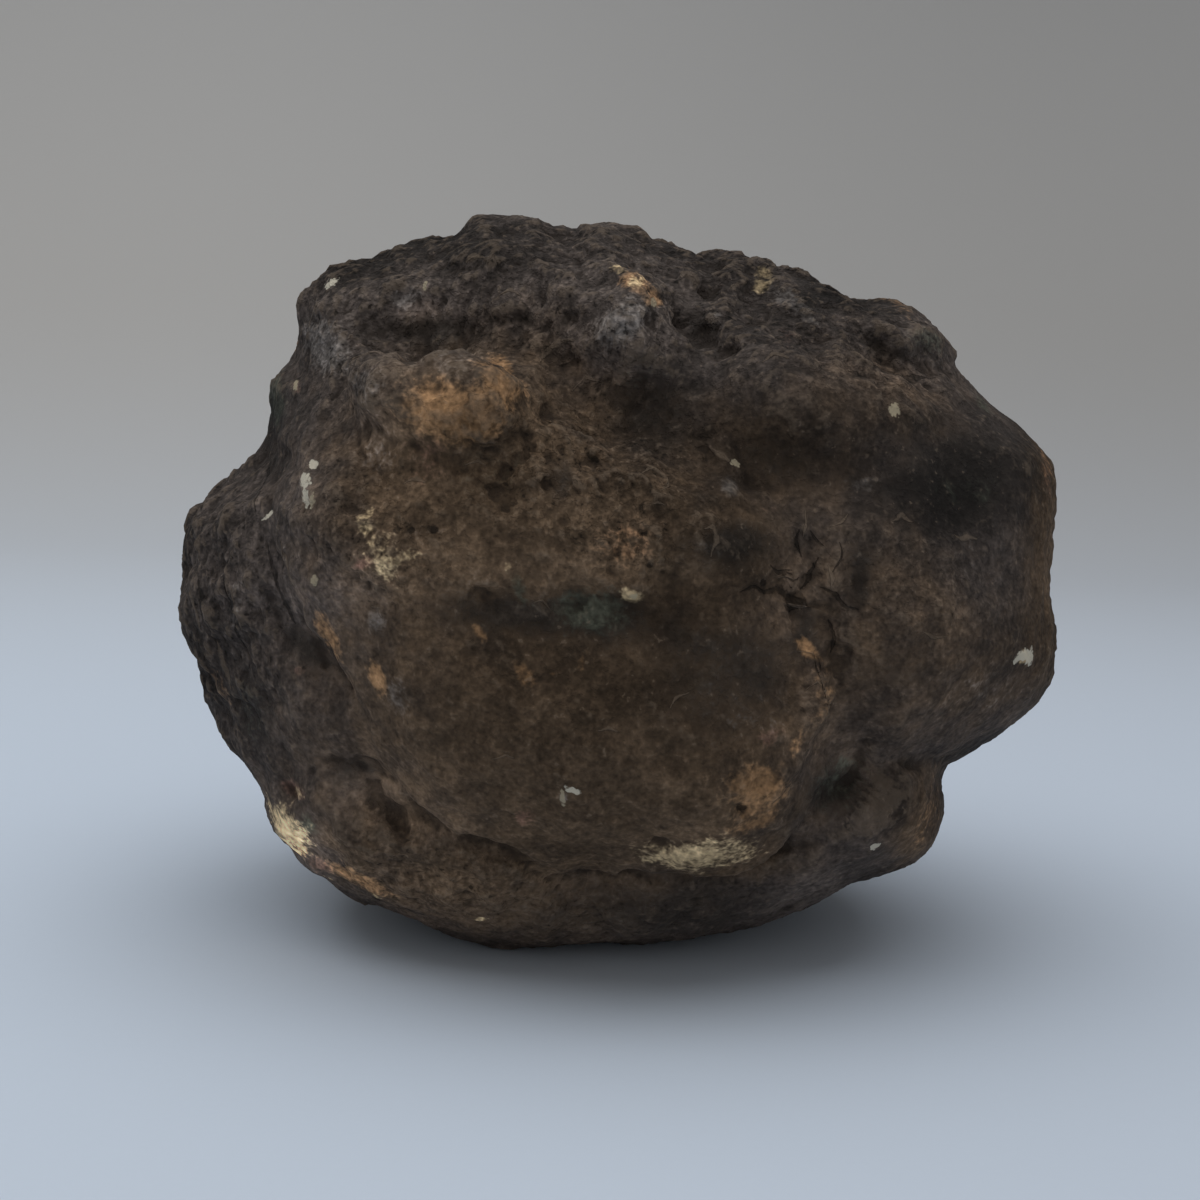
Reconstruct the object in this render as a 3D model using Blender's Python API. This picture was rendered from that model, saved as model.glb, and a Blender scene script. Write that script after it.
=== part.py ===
"""A whole, uncut geode: one lumpy nodule of stone that rests on a small flat spot.

Lengths are written in millimetres and become metres where the solid is made.
+X runs along the stone's longest way, +Y points away from its front and +Z is up.
The origin lies on the resting surface, under the middle of the stone.
"""

import math

import bmesh
import bpy
import numpy as np
from mathutils import Vector, noise

METRES_PER_MM = 0.001

# The block that the stone is shaped from: cells along each edge of its faces
CELLS = 28

# The middle of the stone, which the surface is measured from, in mm
HEART = np.array([0.0, 0.0, 66.0])

# The front view looks down a little, so the outline lies in a plane that leans by this much
VIEW_DOWN = math.radians(9.3)
ACROSS = np.array([1.0, 0.0, 0.0])
FRONT = np.array([0.0, -math.cos(VIEW_DOWN), math.sin(VIEW_DOWN)])
UPWARD = np.array([0.0, math.sin(VIEW_DOWN), math.cos(VIEW_DOWN)])

# Plain body under the lumps: half its width and height, and its reach to front and back, in mm
HALF_WIDTH = 83.0
HALF_HEIGHT = 68.0
FRONT_REACH = 62.0
BACK_REACH = 68.0
BODY_SQUARENESS = 2.3

# Where the outline is met, as an angle from the view axis, and how far round it carries
RIM_ANGLE = math.radians(80.0)
RIM_SPREAD = math.radians(30.0)

# The outline in the front view, in mm across and up from the heart, going round from the right
OUTLINE = (
    (84.3, 0.6), (83.0, 6.7), (84.6, 14.1), (84.0, 28.0), (79.0, 32.2), (70.1, 38.1), (64.5, 44.4),
    (62.7, 49.0), (55.4, 55.5), (50.0, 57.8), (41.1, 58.7), (28.7, 64.2), (18.0, 66.7), (14.3, 64.7),
    (1.7, 69.4), (-6.9, 71.2), (-12.5, 69.5), (-19.9, 72.2), (-31.3, 71.0), (-33.5, 68.0), (-49.0, 63.8),
    (-64.3, 56.3), (-64.8, 49.6), (-64.0, 43.3), (-68.0, 36.8), (-69.6, 28.6), (-72.2, 20.2),
    (-83.5, 12.2), (-85.6, 0.6), (-84.2, -12.3), (-80.0, -16.5), (-80.5, -20.3), (-74.6, -33.9),
    (-67.6, -41.0), (-66.6, -48.4), (-59.2, -55.8), (-51.6, -60.7), (-38.5, -64.6), (-26.8, -70.0),
    (-1.0, -69.0), (18.3, -66.8), (34.3, -62.9), (42.2, -59.6), (48.0, -55.8), (56.0, -53.9),
    (60.2, -49.8), (64.3, -42.1), (64.9, -37.0), (62.5, -33.3), (70.8, -29.1), (79.1, -22.1),
    (83.6, -16.5), (86.2, -8.4),
)

# Lumps and hollows of the front, each pushed towards the viewer or away. In mm, as seen in a
# front elevation: across, height over the rest, half width, half height, push. Then the turn
# in degrees and how steep the flanks are, from 1 for a soft swell upwards.
FRONT_RELIEF = (
    ("brow knob", -30, 106, 13, 8.5, 7.0, -6, 1.4),
    ("brow's left dome", -43, 107, 7, 7, 4.0, 0, 1.4),
    ("brow's right end", -20, 106, 8, 7, 2.5, -15, 1.3),
    ("face under the brow", -34, 88, 27, 20, 6.5, 10, 1.5),
    ("cheek over the left step", -52, 84, 10, 18, 3.5, 10, 1.4),
    ("belly", -4, 50, 37, 23, 9.0, 0, 1.7),
    ("belly's low right corner", 22, 37, 16, 14, 3.0, 40, 1.4),
    ("belly's left shoulder", -32, 62, 14, 20, 3.0, 20, 1.2),
    ("middle ridge", 6, 88, 22, 9, 4.5, -22, 1.2),
    ("upper bump", 0, 120, 9, 8, 7.0, 0, 1.3),
    ("hollow right of the upper bump", 12, 118, 5, 9, -3.5, 20, 1.2),
    ("hollow under the upper bump", 3, 107, 15, 6, -4.5, 8, 1.2),
    ("hollow between brow and upper bump", -14, 117, 9, 5, -3.0, -20, 1.2),
    ("hollow over the brow", -36, 118, 13, 5, -4.0, -6, 1.2),
    ("hollow under the brow's right", -21, 96, 12, 6, -2.5, -10, 1.2),
    ("upper left shoulder", -56, 119, 10, 9, 3.0, 0, 1.3),
    ("upper left swell", -42, 124, 12, 5, 2.5, 15, 1.2),
    ("hollow on the top right", 28, 121, 9, 7, -3.0, -30, 1.2),
    ("edge below the lichen", 33, 123, 4, 14, 2.5, -52, 1.3),
    ("right shoulder", 38, 107, 21, 9, 4.5, -14, 1.4),
    ("dark smooth hollow on the right", 60, 94, 14, 9, -3.0, -10, 1.2),
    ("right lobe", 58, 74, 22, 26, 4.5, 0, 1.4),
    ("right crust lobe", 53, 118, 11, 5, 3.0, -28, 1.5),
    ("lower right lobe", 51, 28, 15, 11, 3.5, 25, 1.4),
    ("dark recess by the belly", 39, 41, 9, 9, -4.5, -30, 1.2),
    ("lower left ledge", -37, 22, 24, 9, 3.5, -12, 1.4),
    ("left lobe", -76, 66, 9, 20, 2.0, 0, 1.2),
    ("left lobe's low hollow", -66, 47, 10, 13, -3.0, 20, 1.2),
    ("flank between ledge and belly", -47, 38, 9, 6, -2.0, -40, 1.2),
)

# Creases of the front, pushed in along a line: name, half width and push in mm, then the line
FRONT_CREASES = (
    ("valley round the left mass", 6.0, -4.5,
     ((-9, 111), (-3, 107), (6, 104), (18, 99), (27, 90), (30, 78), (35, 66), (40, 55), (41, 43))),
    ("step to the left lobe", 5.0, -3.5,
     ((-66, 94), (-62, 83), (-58, 70), (-50, 59), (-45, 53), (-42, 43), (-40, 35))),
    ("crease over the ledge", 4.0, -3.0,
     ((-40, 35), (-31, 34), (-27, 30), (-22, 29), (-14, 27), (-4, 23))),
    ("undercut below the belly", 5.0, -4.0,
     ((-9, 20), (5, 21), (20, 21), (30, 25), (36, 33), (41, 43))),
    ("crease under the crust lobe", 3.2, -3.0, ((46, 117), (52, 115), (62, 111))),
    ("crease over the lower right lobe", 3.0, -3.0, ((43, 45), (51, 43), (60, 39))),
    ("ledge line over the brow", 3.6, -2.5,
     ((-49, 110), (-45, 114), (-39, 114), (-35, 116), (-31, 117), (-22, 115), (-12, 110))),
)

# Where the front's relief fades out, as the share of a direction that points to the front
FRONT_FADE = (0.04, 0.30)

# Lumps and hollows of the sides, back and top, pushed outwards or in: the bearing from +X round
# by +Y and the climb over level, both in degrees, then the half width and push in mm
ROUND_RELIEF = (
    ("right flank swell", 22, 8, 19, 4.5),
    ("right flank hollow", 38, -18, 14, -4.5),
    ("high right swell", 48, 38, 16, 4.5),
    ("back right lobe", 66, -4, 23, 6.0),
    ("back dent", 84, 17, 11, -4.5),
    ("back top lobe", 97, 42, 18, 5.0),
    ("back low lobe", 104, -30, 22, 5.0),
    ("back left lobe", 122, 10, 19, 6.5),
    ("knob on the back left lobe", 118, 22, 8, 3.5),
    ("back left dent", 143, 30, 12, -4.5),
    ("back left low swell", 146, -22, 18, 5.0),
    ("left flank dent", 160, 2, 13, -4.0),
    ("left flank high swell", 163, 28, 12, 3.5),
    ("top hollow", 75, 66, 12, -4.0),
    ("top swell", 150, 64, 14, 4.0),
    ("top right swell", 20, 62, 13, 3.5),
    ("low right swell", 35, -48, 19, 4.0),
)

# Creases of the back: name, half width and push in mm, then the line's bearings and climbs
ROUND_CREASES = (
    ("valley between the back lobes", 7.0, -5.0, ((72, 50), (88, 27), (95, 8), (91, -12), (84, -32))),
    ("crease under the back left lobe", 5.5, -4.0, ((95, -8), (115, -10), (135, -6), (156, -12))),
    ("crease on the right flank", 5.0, -3.5, ((18, 34), (34, 22), (44, 6), (50, -14))),
)

# Where the round relief fades in, as the share of a direction that points away from the front
ROUND_FADE = (-0.05, 0.25)

# Natural unevenness, as wave length and height in mm, kept low where the outline is met
SWELLS = ((34.0, 2.4), (15.0, 1.3), (8.0, 0.6))
RIM_CALM_SPREAD = math.radians(12.0)
RIM_CALM = 0.75

# The resting surface, to which the underside is worn flat, in mm
REST_LEVEL = 0.0

STONE_BROWN = (0.055, 0.043, 0.037, 1.0)
STONE_ROUGHNESS = 0.85


def clear_scene():
    for thing in list(bpy.data.objects):
        bpy.data.objects.remove(thing, do_unlink=True)


def collection_named(name):
    made = bpy.data.collections.new(name)
    bpy.context.scene.collection.children.link(made)
    return made


def ramp(values, low, high):
    """0 below low, 1 above high, and a smooth climb between."""
    share = np.clip((values - low) / (high - low), 0.0, 1.0)
    return share * share * (3.0 - 2.0 * share)


def outline_reach(angles):
    """The outline's distance from the heart at each angle round the view axis."""
    corners = np.array(OUTLINE)
    corner_angles = np.arctan2(corners[:, 1], corners[:, 0]) % math.tau
    corner_reach = np.hypot(corners[:, 0], corners[:, 1])
    order = np.argsort(corner_angles)
    return np.interp(angles, corner_angles[order], corner_reach[order], period=math.tau)


def near_rim(directions, spread):
    """1 where a direction lies on the outline's cone, falling to 0 before and behind it."""
    angle_from_view = np.arccos(np.clip(directions @ FRONT, -1.0, 1.0))
    return np.exp(-(((angle_from_view - RIM_ANGLE) / spread) ** 2))


def plain_reach(directions):
    """The distance from the heart to the body's surface, before its lumps and hollows."""
    to_front = directions @ FRONT
    sideways = np.sqrt(np.maximum(1.0 - to_front ** 2, 0.0))
    angles = np.arctan2(directions @ UPWARD, directions @ ACROSS) % math.tau
    oval = 1.0 / np.hypot(np.cos(angles) / HALF_WIDTH, np.sin(angles) / HALF_HEIGHT)
    rim = oval + (outline_reach(angles) - oval) * near_rim(directions, RIM_SPREAD)
    depth = np.where(to_front > 0.0, FRONT_REACH, BACK_REACH)
    share = (sideways / rim) ** BODY_SQUARENESS + (np.abs(to_front) / depth) ** BODY_SQUARENESS
    return share ** (-1.0 / BODY_SQUARENESS)


def plain_body(directions):
    return HEART + directions * plain_reach(directions)[:, None]


def oval_push(points, across, height, half_width, half_height, push, turn, steepness):
    """The push of one lump at each point, by its place in a front elevation."""
    side, rise = points[:, 0] - across, points[:, 2] - height
    cosine, sine = math.cos(math.radians(turn)), math.sin(math.radians(turn))
    along = (side * cosine + rise * sine) / half_width
    over = (rise * cosine - side * sine) / half_height
    return push * np.exp(-((along ** 2 + over ** 2) ** steepness))


def crease_push(places, half_width, push, line):
    """The push of a crease at each place: deepest on the line, which has as many axes as a place."""
    nearest = np.full(len(places), np.inf)
    for start, end in zip(np.array(line[:-1], float), np.array(line[1:], float)):
        run = end - start
        share = np.clip((places - start) @ run / (run @ run), 0.0, 1.0)
        gap = np.linalg.norm(places - (start + share[:, None] * run), axis=1)
        nearest = np.minimum(nearest, gap)
    return push * np.exp(-((nearest / half_width) ** 2))


def front_push(points, directions):
    """The push of the front's lumps and creases, which are placed as in a front elevation."""
    total = sum(oval_push(points, *lump[1:]) for lump in FRONT_RELIEF)
    total += sum(crease_push(points[:, [0, 2]], *crease[1:]) for crease in FRONT_CREASES)
    return total * ramp(directions @ FRONT, *FRONT_FADE)


def body_point(bearing, climb):
    """The point of the plain body that is met at a bearing and a climb, in degrees."""
    turn, lift = math.radians(bearing), math.radians(climb)
    level = math.cos(lift)
    direction = np.array([[math.cos(turn) * level, math.sin(turn) * level, math.sin(lift)]])
    return plain_body(direction)[0]


def round_push(points, directions):
    """The push of the lumps and creases of the sides, back and top."""
    total = np.zeros(len(points))
    for _, bearing, climb, half_width, push in ROUND_RELIEF:
        gap = np.linalg.norm(points - body_point(bearing, climb), axis=1)
        total += push * np.exp(-((gap / half_width) ** 2))
    for _, half_width, push, line in ROUND_CREASES:
        total += crease_push(points, half_width, push, [body_point(*place) for place in line])
    return total * ramp(-(directions @ FRONT), *ROUND_FADE)


def uneven_push(points, directions):
    """Natural unevenness that follows the place in space, so that it is the same each time."""
    total = np.zeros(len(points))
    for wave_length, height in SWELLS:
        total += [height * noise.noise(Vector(point) / wave_length) for point in points]
    return total * (1.0 - RIM_CALM * near_rim(directions, RIM_CALM_SPREAD))


def stone_points(directions):
    """The stone's surface in mm, worn flat where it rests, with its middle over the origin."""
    body = plain_body(directions)
    outwards = round_push(body, directions) + uneven_push(body, directions)
    points = body + directions * outwards[:, None] + FRONT * front_push(body, directions)[:, None]
    points[:, 2] = np.maximum(points[:, 2], REST_LEVEL)
    middle = (points.min(axis=0) + points.max(axis=0)) / 2
    points[:, :2] -= middle[:2]
    return points


def starting_block():
    """A cube of even cells."""
    bpy.ops.mesh.primitive_cube_add(size=2.0)
    block = bpy.context.object
    cells = bmesh.new()
    cells.from_mesh(block.data)
    bmesh.ops.subdivide_edges(cells, edges=cells.edges[:], cuts=CELLS - 1, use_grid_fill=True)
    cells.to_mesh(block.data)
    cells.free()
    return block


def directions_of(mesh):
    """The way from the heart through each corner of the block, spread so that the cells stay alike."""
    places = np.empty(len(mesh.vertices) * 3)
    mesh.vertices.foreach_get("co", places)
    spread = np.tan(places.reshape(-1, 3) * math.pi / 4)
    return spread / np.linalg.norm(spread, axis=1)[:, None]


def stone_material():
    material = bpy.data.materials.new("weathered_stone")
    material.use_nodes = True
    shader = material.node_tree.nodes["Principled BSDF"]
    shader.inputs["Base Color"].default_value = STONE_BROWN
    shader.inputs["Roughness"].default_value = STONE_ROUGHNESS
    shader.inputs["Metallic"].default_value = 0.0
    return material


def make_geode(collection):
    stone = starting_block()
    stone.name = "geode"
    stone.data.name = "geode"
    points = stone_points(directions_of(stone.data))
    stone.data.vertices.foreach_set("co", (points * METRES_PER_MM).ravel())
    stone.data.materials.append(stone_material())
    stone.data.shade_smooth()
    for home in list(stone.users_collection):
        home.objects.unlink(stone)
    collection.objects.link(stone)
    return stone


clear_scene()
make_geode(collection_named("geode_nodule"))
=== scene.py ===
# %% [markdown]
# # A whole geode
#
# A geode is a lump of stone that has a hollow lined with crystals. Uncut it hides all of that, and
# shows only its skin: a dark crust with round lobes, deep creases, pits, dry clay and pale specks.
# This lesson makes that skin. The solid stone comes ready, at its real size and place, and stays as
# it is. Over it we lay one fine mesh that carries every dent and flake, and give it a finish.

# %% Load the solid stone
import math

import bpy
import numpy as np
from mathutils import Matrix, Vector, kdtree, noise


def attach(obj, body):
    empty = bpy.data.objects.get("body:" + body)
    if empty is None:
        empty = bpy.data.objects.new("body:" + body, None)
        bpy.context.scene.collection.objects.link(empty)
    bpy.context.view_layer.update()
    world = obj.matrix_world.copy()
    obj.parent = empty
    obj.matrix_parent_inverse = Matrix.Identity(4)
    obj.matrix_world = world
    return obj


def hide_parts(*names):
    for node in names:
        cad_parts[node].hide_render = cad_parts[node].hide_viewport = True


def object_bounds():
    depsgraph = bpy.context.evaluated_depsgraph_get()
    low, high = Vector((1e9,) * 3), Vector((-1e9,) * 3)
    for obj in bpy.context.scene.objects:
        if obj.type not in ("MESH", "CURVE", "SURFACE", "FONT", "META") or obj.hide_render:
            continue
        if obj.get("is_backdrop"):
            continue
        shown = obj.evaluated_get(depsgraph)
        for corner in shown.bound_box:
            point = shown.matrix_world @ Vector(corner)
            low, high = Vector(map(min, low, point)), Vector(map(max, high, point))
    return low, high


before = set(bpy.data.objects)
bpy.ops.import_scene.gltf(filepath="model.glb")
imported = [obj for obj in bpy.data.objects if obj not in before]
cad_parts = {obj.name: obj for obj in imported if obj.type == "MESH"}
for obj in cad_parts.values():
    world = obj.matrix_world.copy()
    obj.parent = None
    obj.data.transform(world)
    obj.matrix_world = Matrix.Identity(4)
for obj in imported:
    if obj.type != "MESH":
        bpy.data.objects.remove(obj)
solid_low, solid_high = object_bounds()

MM = 0.001
print("the solid stone measures, in mm:", [round(side / MM, 1) for side in solid_high - solid_low])

# %% [markdown]
# ## The camera
#
# The stone is seen from the front, a little from above, with a long lens that keeps its outline
# true. A camera looks down its own -Z axis, so it is first turned up from looking at the floor, less
# the angle that it looks down by, and before that it leans a little round its own axis.

# %% Set up the camera
CAMERA_PLACE = Vector((-3.5, -450.0, 139.2)) * MM
CAMERA_LENS = 69.54
LOOKING_DOWN = math.radians(9.55)
LEANING = math.radians(2.07)

bpy.ops.object.camera_add(location=CAMERA_PLACE)
camera = bpy.context.object
camera.name = "camera"
turned_up = Matrix.Rotation(math.pi / 2 - LOOKING_DOWN, 4, "X")
camera.matrix_world = Matrix.Translation(CAMERA_PLACE) @ turned_up @ Matrix.Rotation(LEANING, 4, "Z")
camera.data.lens = CAMERA_LENS
bpy.context.scene.camera = camera
bpy.context.scene.view_settings.view_transform = "Standard"

# %% [markdown]
# ## The blank
#
# The stone could be sculpted from a sphere, but a sphere's poles pinch every detail that is laid
# over them. A cube that is cut into even cells and blown up to a ball has no poles. Its cells shrink
# near the corners, so the cuts are spread first, and then the whole ball is combed a little towards
# the front, where the eye looks longest.

# %% Cut a cube into cells
HEART = np.array([0.0, 0.0, 66.0])
BALL_RADIUS = 120.0
FIRST_CUTS = 31
SECOND_CUTS = 3


def deselect_all():
    bpy.ops.object.select_all(action="DESELECT")


def cut_finer(cuts):
    """Cuts every edge of the piece in hand, so that its cells stay square."""
    bpy.ops.object.mode_set(mode="EDIT")
    bpy.ops.mesh.select_all(action="SELECT")
    bpy.ops.mesh.subdivide(number_cuts=cuts)
    bpy.ops.object.mode_set(mode="OBJECT")


deselect_all()
bpy.ops.mesh.primitive_cube_add(size=2 * BALL_RADIUS * MM, location=HEART * MM)
stone = bpy.context.object
stone.name = "geode_crust"
stone.data.name = "geode_crust"
cut_finer(FIRST_CUTS)
cut_finer(SECOND_CUTS)
print("the blank has", len(stone.data.polygons), "cells")

# %% Spread the cells and blow the cube up to a ball
COMBED_TO_FRONT = 0.25


def read_points(piece):
    """The places of a piece's vertices, in mm."""
    places = np.empty(3 * len(piece.data.vertices))
    piece.data.vertices.foreach_get("co", places)
    return places.reshape(-1, 3) / MM


def write_points(piece, points):
    piece.data.vertices.foreach_set("co", (points * MM).ravel())
    piece.data.update()


def lengths(vectors):
    return np.linalg.norm(vectors, axis=1)[:, None]


def apply_modifier(piece, kind, **settings):
    """Adds a modifier with these settings and applies it at once."""
    bpy.context.view_layer.objects.active = piece
    modifier = piece.modifiers.new(kind.lower(), kind)
    for name, value in settings.items():
        setattr(modifier, name, value)
    bpy.ops.object.modifier_apply(modifier=modifier.name)


cube_places = read_points(stone) / BALL_RADIUS
write_points(stone, np.tan(cube_places * math.pi / 4) * BALL_RADIUS)
apply_modifier(stone, "CAST", cast_type="SPHERE", factor=1.0, use_radius_as_size=False, size=BALL_RADIUS * MM)
ball = read_points(stone) / BALL_RADIUS
ball[:, 1] -= COMBED_TO_FRONT
write_points(stone, ball / lengths(ball) * BALL_RADIUS)

# %% [markdown]
# ## Laying the skin on the solid
#
# The solid stone has flat facets of about 5 mm. A copy of it is merged, given back its square cells
# and rounded by a subdivision surface, which gives a smooth form to work over. The ball is then
# shrunk on to that form along its own normals, which all point at the heart of the stone.

# %% Round off a copy of the solid
FORM_LEVELS = 2

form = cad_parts["geode"].copy()
form.data = form.data.copy()
form.parent = None
bpy.context.scene.collection.objects.link(form)
deselect_all()
form.select_set(True)
bpy.context.view_layer.objects.active = form
bpy.ops.object.mode_set(mode="EDIT")
bpy.ops.mesh.select_all(action="SELECT")
bpy.ops.mesh.remove_doubles(threshold=0.01 * MM)
bpy.ops.mesh.tris_convert_to_quads()
bpy.ops.object.mode_set(mode="OBJECT")
apply_modifier(form, "SUBSURF", levels=FORM_LEVELS, render_levels=FORM_LEVELS)
print("the form has", len(form.data.polygons), "faces")

# %% Shrink the ball on to the form
SMOOTHING_ROUNDS = 4

apply_modifier(
    stone, "SHRINKWRAP", target=form, wrap_method="PROJECT",
    use_negative_direction=True, use_positive_direction=False,
)
apply_modifier(stone, "SMOOTH", factor=0.5, iterations=SMOOTHING_ROUNDS)
bpy.data.objects.remove(form)
deselect_all()
stone.select_set(True)
bpy.ops.object.transform_apply(location=True, rotation=True, scale=True)
skin = read_points(stone)
print("the skin spans, in mm:", np.round(np.ptp(skin, axis=0), 1))

# %% [markdown]
# ## Tools for the relief
#
# What makes this stone this stone is where its dents are. Each one is written down as it would be
# measured on a front elevation: so far across, so high over the table. A lump or a hole is an oval,
# a crack is a line, and a broken edge is a line with one side raised. Nature never draws a straight
# edge, so every place is first shaken a little by noise.

# %% Noise that follows the stone
def noise_at(points, wave_length, seed=0.0, octaves=1):
    """Soft noise, from about -1 to 1, whose bumps are as long as wave_length, in mm."""
    shift = Vector((seed, 2.0 * seed, -seed))
    places = (points / wave_length).tolist()
    return np.array([noise.fractal(Vector(place) + shift, 1.0, 2.0, octaves) for place in places])


def shaken(points, wave_length, reach, seed):
    """Places moved by up to about reach, in mm, so that what is drawn by them gets a natural edge."""
    shakes = [noise_at(points, wave_length, seed + 9.7 * axis) for axis in range(3)]
    return points + reach * np.stack(shakes, axis=1)


def ramp(values, low, high):
    """0 below low, 1 above high, and a smooth climb between."""
    share = np.clip((values - low) / (high - low), 0.0, 1.0)
    return share * share * (3.0 - 2.0 * share)

# %% Ovals, lines and edges on the front elevation
def oval(points, across, height, half_width, half_height, turn=0.0, steepness=1.0):
    """1 in the middle of an oval, falling away round it, and sharper edged as steepness grows."""
    side, rise = points[:, 0] - across, points[:, 2] - height
    cosine, sine = math.cos(math.radians(turn)), math.sin(math.radians(turn))
    along = (side * cosine + rise * sine) / half_width
    over = (rise * cosine - side * sine) / half_height
    return np.exp(-((along ** 2 + over ** 2) ** steepness))


def beside_line(points, line):
    """How far each point is from a line: in all, to its left, and past its end. And how near an end it is."""
    places = points[:, [0, 2]]
    corners = np.array(line, float)
    runs = np.linalg.norm(np.diff(corners, axis=0), axis=1)
    walked = np.concatenate([[0.0], np.cumsum(runs)])
    nearest = np.full(len(places), np.inf)
    aside, past, along = np.zeros(len(places)), np.zeros(len(places)), np.zeros(len(places))
    for start, end, run, before in zip(corners[:-1], corners[1:], runs, walked):
        way = (end - start) / run
        reach = np.clip((places - start) @ way, 0.0, run)
        gap = places - (start + reach[:, None] * way)
        distance = np.hypot(gap[:, 0], gap[:, 1])
        closer = distance < nearest
        nearest[closer] = distance[closer]
        aside[closer] = way[0] * gap[closer, 1] - way[1] * gap[closer, 0]
        past[closer] = np.abs(gap[closer] @ way)
        along[closer] = before + reach[closer]
    return nearest, aside, past, np.minimum(along, walked[-1] - along)


def groove(points, half_width, line):
    """1 along a line, falling away to both sides."""
    nearest = beside_line(points, line)[0]
    return np.exp(-((nearest / half_width) ** 2))


EDGE_END = 5.0


def raised_edge(points, fade, sharpness, line):
    """1 just left of a line, 0 right of it, fading away from it and towards its ends."""
    nearest, aside, _, from_end = beside_line(points, line)
    gap = nearest * np.sign(aside)
    step = ramp(gap, -sharpness, sharpness) * np.exp(-np.maximum(gap, 0.0) / fade)
    return step * ramp(from_end, 0.0, EDGE_END)

# %% [markdown]
# ## The front, feature by feature
#
# The tables below are the map of the stone's face. All lengths are in mm. Most features are only a
# millimetre or two deep, and together they make the difference between a potato and a stone.

# %% Lumps and holes: across, height, half width, half height, push, turn, steepness
LUMPS = (
    # Rolls of the belly and shoulder, the low lobes at both sides and fills beside them
    (-2, 84, 30, 6.5, 1.8, 0, 1.2), (30, 111, 19, 4.5, 1.4, -8, 1.2), (61, 22, 5, 8, 1.2, 0, 1.2),
    (-79, 50, 5, 8, 0.9, 0, 1.2), (80, 48, 5, 10, 1, 0, 1.2), (41, 41, 6, 6, 1.6, 0, 1.2),
    (36.6, 65.4, 3.2, 3.4, 1.1, 0, 1.3),
    # The brow and the flakes left of it
    (-31, 106, 12, 6.8, 2.2, -4, 2), (-45, 105, 4.6, 4.6, 0.7, 0, 1.6), (-48.4, 112, 2.8, 0.9, 1.5, 55, 2),
    (-46.2, 112.6, 2.6, 0.8, 1.3, 55, 2), (-42.5, 107.5, 4.6, 5.4, 2.6, 0, 2),
    (-27.5, 109.6, 8.5, 3, 0.9, 0, 1.6),
    # The upper bump and single nubs
    (1.5, 125, 4.5, 3.5, 1.2, 0, 1.4), (-1.5, 119.5, 4, 3.6, 0.9, 20, 1.5),
    (2.2, 75.5, 2, 1.8, 1.5, 0, 1.6), (18, 93.5, 1.6, 1.6, 1.2, 0, 1.6), (-13, 72.2, 1.9, 1.5, 1.4, 0, 1.6),
    # Nubs, plates and flakes round the cracks
    (29.7, 79, 1, 1, 0.9, 0, 1.5), (31.9, 79.2, 1, 1.1, 0.8, 0, 1.5), (30.6, 73.3, 3, 1.2, 1.4, -12, 2.5),
    (28.2, 77.6, 2.7, 1.5, 1.1, -10, 2.2), (31.3, 86.8, 0.8, 3, 1.1, 0, 1.5),
    (35, 78, 2.2, 3.2, 0.9, 20, 2), (35.8, 86.4, 1.8, 0.8, 0.9, 40, 2),
    # Knobs of the belly, thin ridges and streaks
    (33.6, 61.5, 2.6, 6.5, 1.5, 14, 1.6), (33.6, 55.5, 2.6, 3.2, 1.1, 0, 1.5),
    (26, 52, 2.4, 2, 0.9, 0, 1.4), (-41.5, 69, 1.9, 1.9, 0.8, 0, 1.6),
    (16.8, 98.4, 2.4, 0.7, 0.9, -42, 1.5), (-58.8, 77, 0.8, 4.2, 0.9, -12, 1.5),
    (-57, 75, 0.8, 4.5, 0.8, -12, 1.5), (-69, 66.5, 0.9, 4.5, 0.8, -12, 1.5), (-78, 65, 1, 3, 0.7, 0, 1.5),
    # Flakes and lumps towards the edges
    (-10.8, 116, 1.4, 0.9, 0.9, 30, 1.8), (-60.3, 105.5, 1.4, 1.3, 0.7, 0, 1.4),
    (27.5, 36, 1.1, 1, 0.8, 0, 1.5), (-53.5, 17.5, 3, 2.2, 1.4, 0, 1.6), (-65.5, 103.5, 3, 3, 1.2, 0, 1.4),
    (-62.5, 97.5, 2.6, 2.6, 0.9, 0, 1.4),
    # Scabs and grains of pale clay
    (13.5, 28.5, 5.5, 3, 0.7, 0, 2), (24.3, 44, 5.2, 3.7, 0.6, -5, 2), (-40.5, 81, 2.8, 4.2, 0.7, 10, 1.8),
    (73.5, 62.4, 1.9, 1.3, 0.5, 15, 1.6), (-55.2, 90.6, 1.5, 1.9, 0.8, 0, 1.5),
)
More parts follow.
